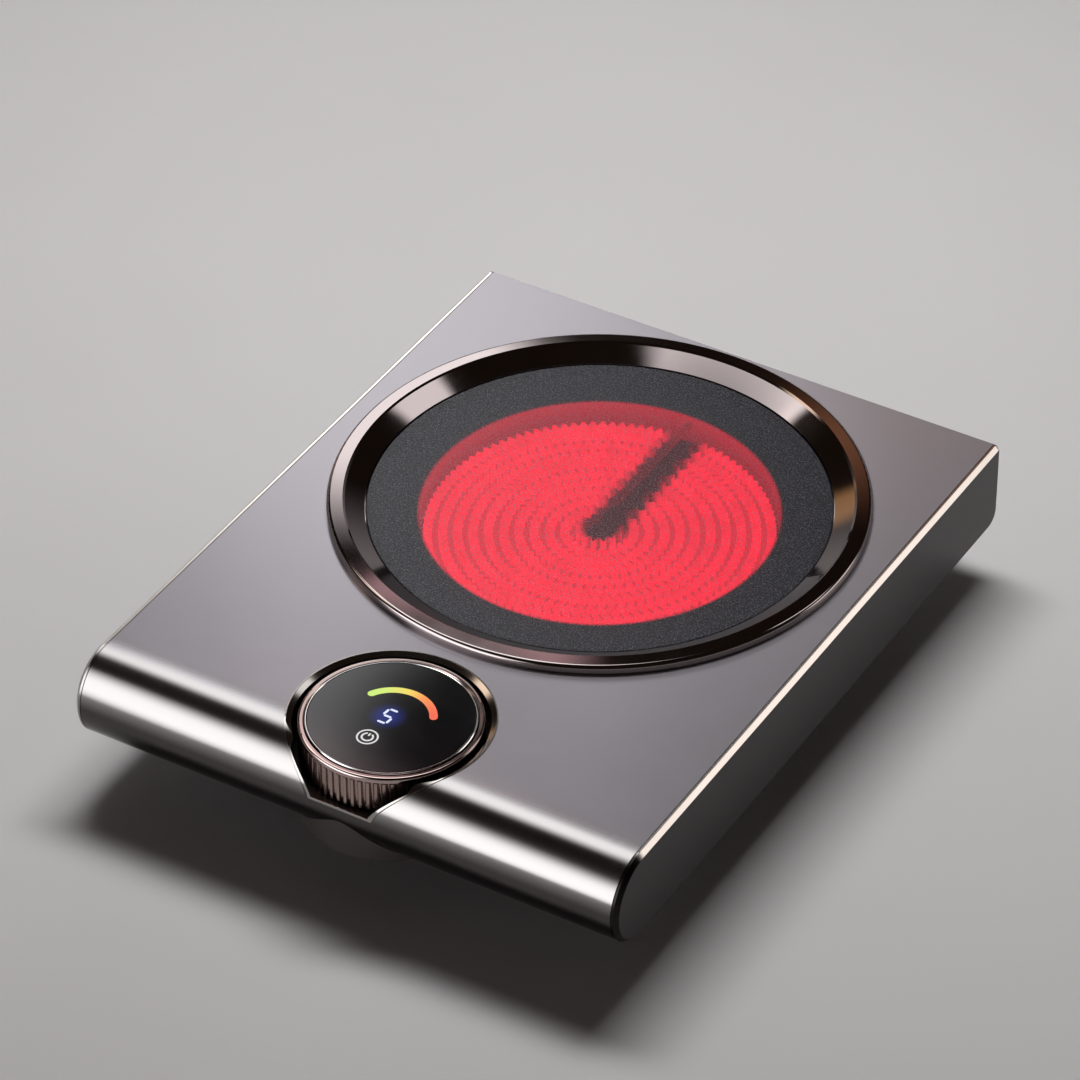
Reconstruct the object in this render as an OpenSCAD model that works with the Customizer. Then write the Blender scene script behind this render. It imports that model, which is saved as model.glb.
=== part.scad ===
// Ceramic hot plate: a flat metal body with a round front, a round glass hob in a trim ring,
// and a fluted turning knob round a small display. Millimetres, +Z up, the knob toward -Y.

/* [Body] */
// Width of the body over both end plates
body_w = 280; // [250:1:310]
// Length of the body, from the round front to the back wall
body_l = 357; // [320:1:395]
// Thickness of the body, which is the diameter of the round front
body_t = 45; // [44:0.5:50]
// Height of the body's underside above the table
lift = 27; // [25:0.5:32]
// Thickness of the shell's sheet
sheet = 1.2; // [0.9:0.1:1.5]
// Radius of the lower back corner
back_low_r = 9; // [6:0.5:12]
// Radius of the upper back corner
back_top_r = 2.5; // [2.2:0.1:4]
// Depth of the folded lips under the shell
lip = 13; // [11:0.5:15]
// Thickness of an end plate
end_t = 3; // [2.8:0.1:4]
// Chamfer round the outer face of an end plate
end_chamfer = 2; // [1:0.1:2]
// Shadow gap between the shell and an end plate
end_gap = 0.4; // [0.2:0.1:0.8]

/* [Hob] */
// Gap between the trim ring and the knob's pocket
ring_gap = 7.5; // [6:0.5:30]
// Gap between the trim ring and the back of the body
ring_back = 6.5; // [4:0.5:20]
// Gap between the trim ring and a side of the body
ring_side = 14; // [10:0.5:40]
// Height of the trim ring above the panel
ring_h = 5; // [4:0.5:7]
// Width of the top of the trim ring
ring_land = 7.5; // [6:0.5:9]
// Fall of the ring's top toward its outer edge, in degrees
ring_slope = 5; // [2:0.5:8]
// Radius of the ring's outer top edge
ring_edge_r = 2.2; // [1:0.1:2.5]
// Width of the trim ring, from its outer edge to the glass
ring_band = 18; // [16:0.5:22]
// Thickness of the glass plate
glass_t = 4; // [3.5:0.5:5]
// Depth of the glass below the panel
glass_drop = 1.4; // [1:0.1:2]

/* [Heater] */
// Width of the cold band of glass round the heated zone
cold_band = 24; // [20:0.5:30]
// Depth of the heated zone under the glass
zone_depth = 15; // [13:0.5:17]
// Thickness of the insulation under the coil
insulation_t = 14; // [12:0.5:15]
// Number of turns in the heating ribbon
coil_turns = 11; // [9:2:11]
// Thickness of the heating ribbon
ribbon_t = 1; // [0.6:0.1:1.4]
// Height of the heating ribbon
ribbon_h = 5; // [3:0.5:6]
// Half width of the cold lane through the ribbon's turns
lane = 5; // [4:0.5:6]

/* [Knob] */
// Distance of the knob's axis from the front of the body
knob_front = 44; // [43:0.5:46]
// Diameter of the pocket round the knob
pocket_d = 94; // [92:0.5:96]
// Depth of the pocket under the panel
pocket_depth = 19; // [18:0.5:20]
// Width of the bevelled collar round the pocket
well_bevel = 2.4; // [1.5:0.1:2.8]
// Outer diameter of the fluted grip
grip_d = 83; // [81:0.5:84]
// Wall of the fluted grip
grip_wall = 2.8; // [2.6:0.1:3.2]
// Number of flutes round the grip
flutes = 72; // [48:1:80]
// Width of a flute
flute_w = 2.3; // [1.6:0.1:2.6]
// Depth of a flute
flute_depth = 1.5; // [1:0.1:1.6]
// Height of the display glass above the panel
lens_up = 0.8; // [0.4:0.1:1.5]
// Travel of the display glass when it is pressed
press = 0.5; // [0.3:0.1:0.6]
// Radial running clearance of the knob on its hub
run = 0.05; // [0.03:0.01:0.1]

/* [Encoder gears] */
// Module of the gear teeth
tooth = 0.8; // [0.8:0.05:0.85]
// Number of teeth inside the knob
ring_teeth = 60; // [58:1:62]
// Number of teeth on the encoder's pinion
pinion_teeth = 16; // [15:1:17]

/* [Base] */
// Height of the rubber feet
foot_h = 10; // [8:0.5:12]
// Width of the sunk base tub
tub_w = 210; // [186:1:235]
// Length of the sunk base tub
tub_l = 238; // [214:1:268]
// Wall thickness of the base tub and the bottom plate
base_t = 1.5; // [1.2:0.1:1.8]
// Size of the cooling fan's square frame
fan_s = 70; // [66:1:72]
// Thickness of the cooling fan
fan_h = 15; // [14:0.5:16]
// Number of fan blades
fan_blades = 7; // [5:2:9]
// Bore of the cord gland
gland_d = 7.2; // [6:0.2:8]

/* [Hidden] */
$fn = 96;
snug = 0.05;
seam = 0.2;
m3_r = 1.5;
m3_hole = 1.6;
m25_r = 1.2;
m25_hole = 1.3;
top_z = lift + body_t;
nose_r = body_t / 2;
nose_y = -body_l / 2 + nose_r;
back_y = body_l / 2;
inside_w = body_w - 2 * end_t;
shell_w = inside_w - 2 * end_gap;

pocket_r = pocket_d / 2;
ring_r = min((body_l - knob_front - pocket_r - ring_gap - ring_back) / 2, body_w / 2 - ring_side);
hob_y = back_y - ring_back - ring_r;
glass_r = ring_r - ring_band;
seat_r = glass_r + 0.5;
neck_r = seat_r + 4.3;
hole_r = neck_r + seam;
ledge_r = glass_r - 4.5;
glass_top_z = top_z - glass_drop;
glass_z = glass_top_z - glass_t;
seal_t = 0.6;
seal_z = glass_z - seal_t;
ring_z = seal_z - 2;
clamp_r = (seat_r + neck_r) / 2;
clamp_out = neck_r + 7;
clamp_w = 16;
clamp_t = 1.5;
clamp_thread = 5;

zone_r = glass_r - cold_band;
rim_top_z = glass_z - 0.3;
zone_z = rim_top_z - zone_depth;
insulation_z = zone_z - insulation_t;
insulation_r = zone_r + 13;
pan_t = 0.8;
pan_z = insulation_z - pan_t;
pan_r = insulation_r + snug + pan_t;
pan_wall_z = zone_z + 5;
coil_r0 = 9;
coil_pitch = (zone_r - 4 - coil_r0) / (coil_turns - 1);
ribbon_step = 8;
probe_z = (zone_z + ribbon_h + rim_top_z) / 2;
probe_r = 1.8;
switch_w = 16;
switch_l = 14;
switch_h = 7;
terminal_w = 26;
terminal_l = 11;
terminal_h = 12;

knob_y = -body_l / 2 + knob_front;
turret_r = knob_front - 0.3;
floor_z = top_z - pocket_depth;
well_t = 1.2;
well_z = floor_z - well_t;
well_wall = 0.6;
grip_r = grip_d / 2;
grip_in = grip_r - grip_wall;
lens_t = 2.2;
lens_z = top_z + lens_up - lens_t;
bezel_top_z = top_z + lens_up - 0.4;
bezel_z = bezel_top_z - 3;
bezel_r = 1.2;
grip_z = floor_z + 1.4;
web_z = floor_z + 5.5;
hub_r = 9;
hub_bore = 5;
hub_bolt_r = 7;
clip_z = web_z + 4.25;
clip_mouth = 6;
carrier_z = lens_z - 5.7;
carrier_t = 1.2;
board_z = carrier_z + 2.7;
display_board_t = 1;
lights_z = board_z + display_board_t;
lens_frame_z = lens_z - 1;
lens_r = grip_in - 1.3;
rim_r = grip_in - 0.5;
pin_bolt_r = lens_r - 1.7;
pin_r = 1;
well_rim = 0.3;
control_bolt_r = 28;
control_board_r = 33;
display_board_r = 32.5;
arc_r = 17;
arc_w = 3;
light_h = 0.7;
key_w = 5;
key_x = -1.9;
key_y = 16.7;

ring_pitch_r = tooth * ring_teeth / 2;
pinion_pitch_r = tooth * pinion_teeth / 2;
gear_gap = ring_pitch_r - pinion_pitch_r;
pressure = 20;
backlash = 0.14;
gear_z = floor_z + 1.9;
encoder_h = 6;
encoder_w = 12;
shaft_r = 2.9;
circuit_t = 1.6;
control_z = well_z - encoder_h - circuit_t;

tub_z = foot_h;
tub_floor_z = foot_h + base_t;
plate_z = lift + sheet;
flange_z = plate_z + base_t;
flange_up = 14;
plate_play = 0.1;
flange_in = 20;
tub_gap = 6.5;
tub_back = back_y - back_low_r - lip - tub_gap;
tub_front = tub_back - tub_l;
tub_y = (tub_front + tub_back) / 2;
tub_r = 14;
tub_flange = 10;
foot_r = 13;
foot_hole = 3;
foot_x = tub_w / 2 - foot_r - 5;
foot_y = tub_l / 2 - foot_r - 5;
fan_side = 25;
fan_x = -tub_w / 2 + fan_side + fan_s / 2;
fan_y = tub_front + fan_s / 2 + 9;
board_side = 22;
board_gap = 9;
board_w = tub_w - fan_side - fan_s - board_gap - board_side;
board_l = 60;
board_x = tub_w / 2 - board_side - board_w / 2;
board_y = tub_front + board_l / 2 + 10;
power_z = tub_floor_z + 5.5;
board_top_z = power_z + circuit_t;
sink_w = 38;
sink_l = 16;
sink_base = 3;
sink_h = 18;
sink_fins = 8;
fin_t = 1.6;
capacitor_w = 18;
capacitor_l = 9;
transformer_w = 17;
relay_w = 19;
relay_l = 15;
block_h = 11.5;
block_gap = (board_w - capacitor_w - transformer_w - relay_w) / 4;
capacitor_x = board_x - board_w / 2 + block_gap;
transformer_x = capacitor_x + capacitor_w + block_gap;
relay_x = transformer_x + transformer_w + block_gap;
block_y = board_y - 5;
mains_w = 36;
mains_l = 17;
mains_h = 13;
mains_back = 25;
fan_hub_r = 12.5;
fan_shaft_r = 1.5;
blade_w = 16;
blade_t = 1.2;
bridge_t = 1.5;
bridge_x = tub_w / 2 - base_t - 4;
bridge_w = 32;
bridge_foot = 16;
gland_side = 45;
gland_x = -tub_w / 2 + gland_side;
gland_z = (tub_z + lift) / 2;

// Runs its children along X, with their x as Y and their y as Z
module along_x(length) {
  translate([-length / 2, 0, 0])
    rotate([90, 0, 90])
      linear_extrude(length)
        children();
}

// Section of the body across its width, drawn smaller by an inset
module body_section(inset) {
  translate([nose_y, lift + nose_r])
    circle(r = nose_r - inset);
  translate([nose_y, lift + inset])
    square([back_y - back_low_r - nose_y, body_t - 2 * inset]);
  translate([nose_y, lift + back_low_r])
    square([back_y - inset - nose_y, body_t - back_low_r - back_top_r]);
  translate([nose_y, lift + back_low_r])
    square([back_y - back_top_r - nose_y, body_t - back_low_r - inset]);
  translate([back_y - back_low_r, lift + back_low_r])
    circle(r = back_low_r - inset);
  translate([back_y - back_top_r, top_z - back_top_r])
    circle(r = back_top_r - inset);
}

module rounded_rect(w, l, r) {
  square([w - 2 * r, l], center = true);
  square([w, l - 2 * r], center = true);
  for (sx = [-1, 1])
    for (sy = [-1, 1])
      translate([sx * (w / 2 - r), sy * (l / 2 - r)])
        circle(r = r);
}

module tube(r_out, r_in, h) {
  linear_extrude(h)
    difference() {
      circle(r = r_out);
      circle(r = r_in);
    }
}

// Pan-head screw with its shank down and the seat of its head at z = 0
module screw(shank_r, shank_l, head_r, head_h) {
  translate([0, 0, -shank_l])
    cylinder(r = shank_r, h = shank_l + head_h / 2);
  rotate_extrude()
    polygon([[0, 0], [head_r, 0], [head_r, head_h * 0.6], [head_r * 0.75, head_h], [0, head_h]]);
}

module m3_screw(length) {
  screw(m3_r, length, 3.2, 1.8);
}

module m25_screw(length) {
  screw(m25_r, length, 2.6, 1.6);
}

module at_hob() {
  translate([0, hob_y, 0])
    children();
}

module at_knob() {
  translate([0, knob_y, 0])
    children();
}

// Places of the screws through the shell's lips
module lip_places() {
  for (sx = [-1, 1])
    for (fx = [0.24, 0.42])
      for (y = [nose_y + lip * 0.55, back_y - back_low_r - lip * 0.45])
        translate([sx * fx * body_w, y, 0])
          children();
}

// Places of the screws through the tub's flange
module tub_places() {
  for (sx = [-1, 1])
    for (fy = [-0.38, 0, 0.38])
      translate([sx * (tub_w / 2 + 5), tub_y + fy * tub_l, 0])
        children();
}

module end_places() {
  for (sx = [-1, 1])
    for (fy = [-0.3, 0.05, 0.38])
      translate([sx * inside_w / 2, fy * body_l, flange_z + flange_up / 2])
        rotate([0, -sx * 90, 0])
          children();
}

module foot_places() {
  for (sx = [-1, 1])
    for (sy = [-1, 1])
      translate([sx * foot_x, tub_y + sy * foot_y, 0])
        children();
}

module clamp_places() {
  for (a = [45, 135, 225, 315])
    rotate([0, 0, a])
      children();
}

module board_places() {
  for (sx = [-1, 1])
    for (sy = [-1, 1])
      translate([board_x + sx * (board_w / 2 - 4), board_y + sy * (board_l / 2 - 4), 0])
        children();
}

module fan_places() {
  for (sx = [-1, 1])
    for (sy = [-1, 1])
      translate([fan_x + sx * (fan_s / 2 - 4), fan_y + sy * (fan_s / 2 - 4), 0])
        children();
}

module post_places() {
  for (a = [0, 180, 270])
    rotate([0, 0, a])
      translate([turret_r - sheet - 4.2, 0, 0])
        children();
}

module control_places() {
  for (a = [90, 210, 330])
    rotate([0, 0, a])
      translate([control_bolt_r, 0, 0])
        children();
}

module hub_places() {
  for (a = [90, 210, 330])
    rotate([0, 0, a])
      translate([hub_bolt_r, 0, 0])
        children();
}

module lens_pin_places() {
  for (a = [30, 150, 270])
    rotate([0, 0, a])
      translate([pin_bolt_r, 0, 0])
        children();
}

// Half angle that one involute tooth takes up at radius r
function inv(a) = tan(a) - a * PI / 180;
function half_tooth(n, r, slack) =
  let (pr = tooth * n / 2, br = pr * cos(pressure))
  90 / n + slack / pr * 90 / PI + (inv(pressure) - inv(r > br ? acos(br / r) : 0)) * 180 / PI;
// Outline of a gear from its root to its tip, with a tooth on the +X axis
function gear_points(n, root, tip, slack) = [
  for (i = [0 : n - 1])
    for (k = [-4 : 4])
      if (k != 0)
        let (s = k < 0 ? k + 4 : 4 - k, r = root + (tip - root) * s / 3, a = half_tooth(n, r, slack))
        [r * cos(i * 360 / n + sign(k) * a), r * sin(i * 360 / n + sign(k) * a)]
];

// Radius of one turn of the heating ribbon, and the angles at which it stops beside the lane
function turn_r(i) = coil_r0 + i * coil_pitch;
function stop_angle(i) = asin((lane + coil_pitch / 2) / (turn_r(i) + coil_pitch / 2));
function left_stop(i) = stop_angle(i - i % 2);
function right_stop(i) = stop_angle(max(0, i - 1 + i % 2));
function turn_span(i) = 360 - left_stop(i) - right_stop(i);
function turn_steps(i) = max(16, round(turn_r(i) * turn_span(i) * PI / 180 / ribbon_step));

// Points along one turn, which runs clockwise and counter-clockwise by turns
function turn_path(i) = [
  for (k = [0 : turn_steps(i)])
    let (f = k / turn_steps(i), from_right = i % 2 == 0 ? f : 1 - f)
    let (a = 90 - right_stop(i) - from_right * turn_span(i))
    turn_r(i) * [cos(a), sin(a)]
];

// Points round the bend beside the lane that leads from one turn out to the next
function bend_path(i) =
  let (side = i % 2 == 0 ? -1 : 1, a = side < 0 ? 90 + left_stop(i) : 90 - right_stop(i))
  let (out = [cos(a), sin(a)], across = [-sin(a), cos(a)], middle = (turn_r(i) + coil_pitch / 2) * out)
  [for (t = [22.5 : 22.5 : 157.5]) middle + coil_pitch / 2 * (side * sin(t) * across - cos(t) * out)];

ribbon_path = [
  for (i = [0 : coil_turns - 1])
    each concat(turn_path(i), i < coil_turns - 1 ? bend_path(i) : [])
];
ribbon_end = len(ribbon_path) - 1;

// One long edge of the ribbon, half its thickness to one side of its path
function ribbon_edge(side) = [
  for (k = [0 : ribbon_end])
    let (run = ribbon_path[min(k + 1, ribbon_end)] - ribbon_path[max(k - 1, 0)])
    ribbon_path[k] + side * ribbon_t / 2 * [-run[1], run[0]] / norm(run)
];

// Least gap between stretches of the ribbon that lie beside each other, measured on its path
function ribbon_gap() = min([
  for (k = [0 : ribbon_end])
    for (m = [k + 12 : ribbon_end])
      norm(ribbon_path[k] - ribbon_path[m])
]) - ribbon_t;

module top_shell() {
  color("#9b9697")
    difference() {
      union() {
        along_x(shell_w)
          body_section(0);
        at_knob()
          translate([0, 0, lift])
            cylinder(r = turret_r, h = nose_r);
      }
      along_x(shell_w + 2)
        body_section(sheet);
      at_knob()
        translate([0, 0, plate_z])
          cylinder(r = turret_r - sheet, h = nose_r);
      at_hob()
        translate([0, 0, top_z - nose_r])
          cylinder(r = hole_r, h = body_t);
      at_knob()
        translate([0, 0, well_z])
          cylinder(r = pocket_r + snug, h = body_t);
      translate([-shell_w, nose_y + lip, lift - 1])
        cube([2 * shell_w, back_y - back_low_r - lip - nose_y - lip, sheet + 2]);
      at_knob()
        translate([0, 0, lift - 1])
          cylinder(r = turret_r - lip, h = sheet + 2);
      lip_places()
        translate([0, 0, lift - 1])
          cylinder(r = m3_hole, h = sheet + 2);
    }
}

// Chamfered disc on its side, its inner face at x = 0
module chamfered_disc(r) {
  rotate([0, 90, 0])
    rotate_extrude()
      polygon([[0, 0], [r, 0], [r, end_t - end_chamfer], [r - end_chamfer, end_t], [0, end_t]]);
}

// End plate with its inner face at x = 0 and its chamfer all round the outer face
module end_plate() {
  face = end_t - end_chamfer;
  translate([0, nose_y, lift + nose_r])
    chamfered_disc(nose_r);
  translate([0, back_y - back_low_r, lift + back_low_r])
    chamfered_disc(back_low_r);
  translate([0, back_y - back_top_r, top_z - back_top_r])
    chamfered_disc(back_top_r);
  translate([0, nose_y, 0])
    rotate([90, 0, 180])
      mirror([1, 0, 0])
        linear_extrude(back_y - back_low_r - nose_y)
          polygon([[0, lift], [face, lift], [end_t, lift + end_chamfer], [end_t, lift + nose_r],
            [0, lift + nose_r]]);
  translate([0, nose_y, 0])
    rotate([90, 0, 180])
      mirror([1, 0, 0])
        linear_extrude(back_y - back_top_r - nose_y)
          polygon([[0, lift + back_low_r], [end_t, lift + back_low_r], [end_t, top_z - end_chamfer],
            [face, top_z], [0, top_z]]);
  translate([0, 0, lift + back_low_r])
    linear_extrude(body_t - back_low_r - back_top_r)
      polygon([[0, nose_y], [end_t, nose_y], [end_t, back_y - end_chamfer], [face, back_y], [0, back_y]]);
}

module right_end_plate() {
  color("#4a4646")
    difference() {
      translate([inside_w / 2, 0, 0])
        end_plate();
      end_places()
        translate([0, 0, -2])
          cylinder(r = m25_hole, h = 4);
    }
}

module left_end_plate() {
  color("#4a4646")
    difference() {
      mirror([1, 0, 0])
        translate([inside_w / 2, 0, 0])
          end_plate();
      end_places()
        translate([0, 0, -2])
          cylinder(r = m25_hole, h = 4);
    }
}

module end_plate_screws() {
  color("#8d8f92")
    end_places()
      translate([0, 0, plate_play + base_t])
        m25_screw(plate_play + base_t + 1.8);
}

module bottom_plate() {
  edge = inside_w / 2 - plate_play;
  color("#6c6d70")
    difference() {
      union() {
        translate([-edge, nose_y + 1, plate_z])
          cube([2 * edge, back_y - back_low_r - 1 - nose_y - 1, base_t]);
        at_knob()
          translate([0, 0, plate_z])
            cylinder(r = turret_r - sheet - seam, h = base_t);
        for (sx = [-1, 1])
          translate([sx * (edge - base_t / 2) - base_t / 2, nose_y + flange_in, plate_z])
            cube([base_t, back_y - back_low_r - nose_y - 2 * flange_in, base_t + flange_up]);
      }
      translate([0, tub_y, plate_z - 1])
        linear_extrude(base_t + 2)
          rounded_rect(tub_w + 2 * seam, tub_l + 2 * seam, tub_r + seam);
      lip_places()
        translate([0, 0, plate_z - 1])
          cylinder(r = m3_hole, h = base_t + 2);
      tub_places()
        translate([0, 0, plate_z - 1])
          cylinder(r = m3_hole, h = base_t + 2);
      at_knob()
        post_places()
          translate([0, 0, plate_z - 1])
            cylinder(r = m3_hole, h = base_t + 2);
      end_places()
        translate([0, 0, -1])
          cylinder(r = m25_hole, h = base_t + 2);
    }
}

module bottom_plate_screws() {
  color("#8d8f92")
    lip_places()
      translate([0, 0, lift])
        mirror([0, 0, 1])
          m3_screw(sheet + base_t + 1.2);
}

module base_tub() {
  color("#2e2e31")
    difference() {
      union() {
        translate([0, tub_y, tub_z])
          linear_extrude(flange_z - tub_z + base_t)
            rounded_rect(tub_w, tub_l, tub_r);
        translate([0, tub_y, flange_z])
          linear_extrude(base_t)
            rounded_rect(tub_w + 2 * tub_flange, tub_l + tub_flange, tub_r + tub_flange / 2);
      }
      translate([0, tub_y, tub_floor_z])
        linear_extrude(flange_z)
          rounded_rect(tub_w - 2 * base_t, tub_l - 2 * base_t, tub_r - base_t);
      translate([fan_x, fan_y, tub_z - 1])
        linear_extrude(base_t + 2)
          difference() {
            for (r = [12 : 7 : 26])
              difference() {
                circle(r = r + 3.5);
                circle(r = r);
              }
            for (a = [0, 60, 120])
              rotate([0, 0, a])
                square([fan_s, 4], center = true);
          }
      for (i = [0 : 11])
        translate([-20 + i * 8, tub_back - base_t - 1, tub_floor_z + 2])
          cube([3.4, base_t + 2, 10]);
      for (sx = [-1, 1])
        for (i = [0 : 8])
          translate([sx * tub_w / 2 - base_t - 1, tub_y + 20 + i * 7, tub_floor_z + 2])
            cube([2 * base_t + 2, 3.4, 10]);
      translate([gland_x, tub_back - base_t - 1, gland_z])
        rotate([-90, 0, 0])
          cylinder(r = gland_d / 2 + 1.6, h = base_t + 2);
      tub_places()
        translate([0, 0, flange_z - 1])
          cylinder(r = m3_hole, h = base_t + 2);
      foot_places()
        translate([0, 0, tub_z - 1])
          cylinder(r = foot_hole, h = base_t + 2);
      fan_places()
        translate([0, 0, tub_z - 1])
          cylinder(r = m3_hole, h = base_t + 2);
      board_places()
        translate([0, 0, tub_z - 1])
          cylinder(r = m3_hole, h = base_t + 2);
      at_hob()
        bridge_places()
          translate([0, 0, tub_z - 1])
            cylinder(r = m3_hole, h = base_t + 2);
    }
}

module base_tub_screws() {
  color("#8d8f92")
    tub_places()
      translate([0, 0, flange_z + base_t])
        m3_screw(2 * base_t - 0.2);
}

module rubber_feet() {
  color("#1c1c1d")
    foot_places()
      rotate_extrude()
        polygon([[0, 0.6], [foot_r - 4, 0.6], [foot_r - 3.6, 0], [foot_r - 1.4, 0], [foot_r - 0.6, 0.8],
          [foot_r, foot_h - 1], [foot_r, foot_h], [foot_hole - snug, foot_h],
          [foot_hole - snug, tub_floor_z + snug], [foot_hole + 1.2, tub_floor_z + snug],
          [foot_hole + 0.4, tub_floor_z + 2], [0, tub_floor_z + 2]]);
}

module cord_gland() {
  r = gland_d / 2;
  color("#202022")
    translate([gland_x, tub_back, gland_z])
      rotate([-90, 0, 0])
        rotate_extrude()
          polygon([[r, -base_t - 4], [r + 2.6, -base_t - 4], [r + 2.6, -base_t - snug],
            [r + 1.55, -base_t - snug], [r + 1.55, snug], [r + 3.2, snug], [r + 3.2, 2], [r + 2.4, 3],
            [r + 2, 10], [r, 10]]);
}

module trim_ring() {
  land_in = ring_r - ring_land;
  ring_top = top_z + ring_h;
  edge_x = ring_r - ring_edge_r;
  edge_z = ring_top - (edge_x - land_in) * tan(ring_slope) - ring_edge_r / cos(ring_slope);
  color("#8a6a5e")
    at_hob()
      difference() {
        rotate_extrude($fn = 180) {
          polygon([[ledge_r, ring_z], [neck_r, ring_z], [neck_r, top_z], [ring_r, top_z],
            [ring_r, edge_z],
            [edge_x + ring_edge_r * sin(ring_slope), edge_z + ring_edge_r * cos(ring_slope)],
            [land_in, ring_top],
            [land_in - 1, ring_top - 0.8], [seat_r, glass_top_z + 0.3], [seat_r, seal_z], [ledge_r, seal_z]]);
          translate([edge_x, edge_z])
            circle(r = ring_edge_r);
        }
        clamp_places()
          translate([clamp_r, 0, ring_z - 1])
            cylinder(r = m25_hole, h = clamp_thread + 1);
      }
}

module ring_clamps() {
  color("#7d7f82")
    at_hob()
      clamp_places()
        difference() {
          union() {
            translate([ledge_r + 1, -clamp_w / 2, ring_z - clamp_t])
              cube([clamp_out - ledge_r - 1, clamp_w, clamp_t]);
            translate([clamp_out - clamp_t, -clamp_w / 2, ring_z - clamp_t])
              cube([clamp_t, clamp_w, top_z - sheet - ring_z + clamp_t]);
          }
          translate([clamp_r, 0, ring_z - 2 * clamp_t])
            cylinder(r = m25_hole, h = 4 * clamp_t);
        }
}

module ring_clamp_screws() {
  color("#8d8f92")
    at_hob()
      clamp_places()
        translate([clamp_r, 0, ring_z - clamp_t])
          mirror([0, 0, 1])
            m25_screw(clamp_t + clamp_thread - 1);
}

module glass_seal() {
  color("#3a3a3c")
    at_hob()
      translate([0, 0, seal_z])
        tube(glass_r - 0.3, ledge_r + 0.3, seal_t);
}

module glass_plate() {
  color("#2b2d31")
    at_hob()
      rotate_extrude($fn = 180)
        polygon([[0, glass_z], [glass_r, glass_z], [glass_r, glass_top_z - 0.5], [glass_r - 0.5, glass_top_z],
          [0, glass_top_z]]);
}

module heater_pan() {
  color("#9a9da0")
    at_hob()
      rotate_extrude($fn = 180)
        polygon([[0, pan_z], [pan_r, pan_z], [pan_r, pan_wall_z], [pan_r - pan_t, pan_wall_z],
          [pan_r - pan_t, insulation_z], [0, insulation_z]]);
}

module heater_insulation() {
  color("#d8d3c6")
    at_hob()
      difference() {
        rotate_extrude($fn = 180)
          polygon([[0, insulation_z], [insulation_r, insulation_z], [insulation_r, rim_top_z],
            [zone_r, rim_top_z], [zone_r - 1, zone_z], [0, zone_z]]);
        translate([0, 0, probe_z])
          rotate([-90, 0, 0])
            cylinder(r = probe_r + 0.2, h = 2 * insulation_r);
      }
}

module heating_ribbon() {
  left = ribbon_edge(1);
  right = ribbon_edge(-1);
  echo(str("least gap of the heating ribbon to itself, mm: ", ribbon_gap()));
  color("#c8361f")
    at_hob()
      translate([0, 0, zone_z])
        linear_extrude(ribbon_h)
          polygon(concat(left, [for (k = [ribbon_end : -1 : 0]) right[k]]));
}

module limiter_rod() {
  color("#5d5a57")
    at_hob()
      translate([0, 14, probe_z])
        rotate([-90, 0, 0])
          cylinder(r = probe_r, h = insulation_r + 1 - 14);
}

module limiter_switch() {
  color("#cfc8ba")
    at_hob()
      translate([-switch_w / 2, insulation_r + 1, ring_z - 0.5 - switch_h])
        cube([switch_w, switch_l, switch_h]);
}

module heater_terminal() {
  color("#d9d4c8")
    at_hob()
      rotate([0, 0, 235])
        difference() {
          translate([pan_r + snug, -terminal_w / 2, pan_z + 2])
            cube([terminal_l, terminal_w, terminal_h]);
          for (sy = [-1, 1])
            translate([pan_r + terminal_l * 0.55, sy * terminal_w / 4, pan_z + 2 + terminal_h / 2])
              cylinder(r = 2.4, h = terminal_h);
        }
}

module bridge_places() {
  for (sx = [-1, 1])
    for (sy = [-1, 1])
      translate([sx * (bridge_x - bridge_foot * 0.56), sy * bridge_w * 0.28, 0])
        children();
}

module heater_bridge() {
  color("#7d7f82")
    at_hob()
      difference() {
        union() {
          translate([-bridge_x, -bridge_w / 2, pan_z - bridge_t])
            cube([2 * bridge_x, bridge_w, bridge_t]);
          for (sx = [-1, 1]) {
            translate([sx * (bridge_x - bridge_t / 2) - bridge_t / 2, -bridge_w / 2, tub_floor_z])
              cube([bridge_t, bridge_w, pan_z - tub_floor_z]);
            translate([sx * (bridge_x - bridge_foot / 2) - bridge_foot / 2, -bridge_w / 2, tub_floor_z])
              cube([bridge_foot, bridge_w, bridge_t]);
          }
        }
        bridge_places()
          translate([0, 0, tub_floor_z - 1])
            cylinder(r = m3_hole, h = bridge_t + 2);
      }
}

module bridge_screws() {
  color("#8d8f92")
    at_hob()
      bridge_places()
        translate([0, 0, tub_floor_z + bridge_t])
          m3_screw(bridge_t + base_t - 0.1);
}

module knob_well() {
  wall_r = pocket_r - well_wall;
  collar_r = wall_r - well_bevel;
  collar_z = top_z - well_bevel / 2;
  color("#3c3838")
    difference() {
      intersection() {
        at_knob()
          rotate_extrude($fn = 144)
            polygon([[0, well_z], [pocket_r, well_z], [pocket_r, top_z + 1], [wall_r, top_z + 1],
              [wall_r, top_z], [collar_r, collar_z], [collar_r, collar_z - well_wall],
              [wall_r, collar_z - well_wall - well_bevel], [wall_r, floor_z], [0, floor_z]]);
        along_x(shell_w)
          body_section(-well_rim);
      }
      at_knob() {
        translate([0, 0, well_z - 1])
          cylinder(r = hub_r + snug, h = well_t + 2);
        translate([gear_gap, 0, well_z - 1])
          cylinder(r = shaft_r + 0.4, h = well_t + 2);
        control_places()
          translate([0, 0, well_z - 1])
            cylinder(r = m25_hole, h = well_t + 2);
        post_places()
          translate([0, 0, well_z - 1])
            cylinder(r = m25_hole, h = well_t + 2);
      }
    }
}

module well_posts() {
  color("#8d8f92")
    at_knob()
      post_places() {
        translate([0, 0, flange_z])
          cylinder(r = 3.4, h = well_z - flange_z);
        translate([0, 0, plate_z + 0.2])
          cylinder(r = m3_r, h = well_z - plate_z - 1);
        translate([0, 0, well_z - 1])
          cylinder(r = m25_r, h = well_t + 0.8);
      }
}

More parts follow.
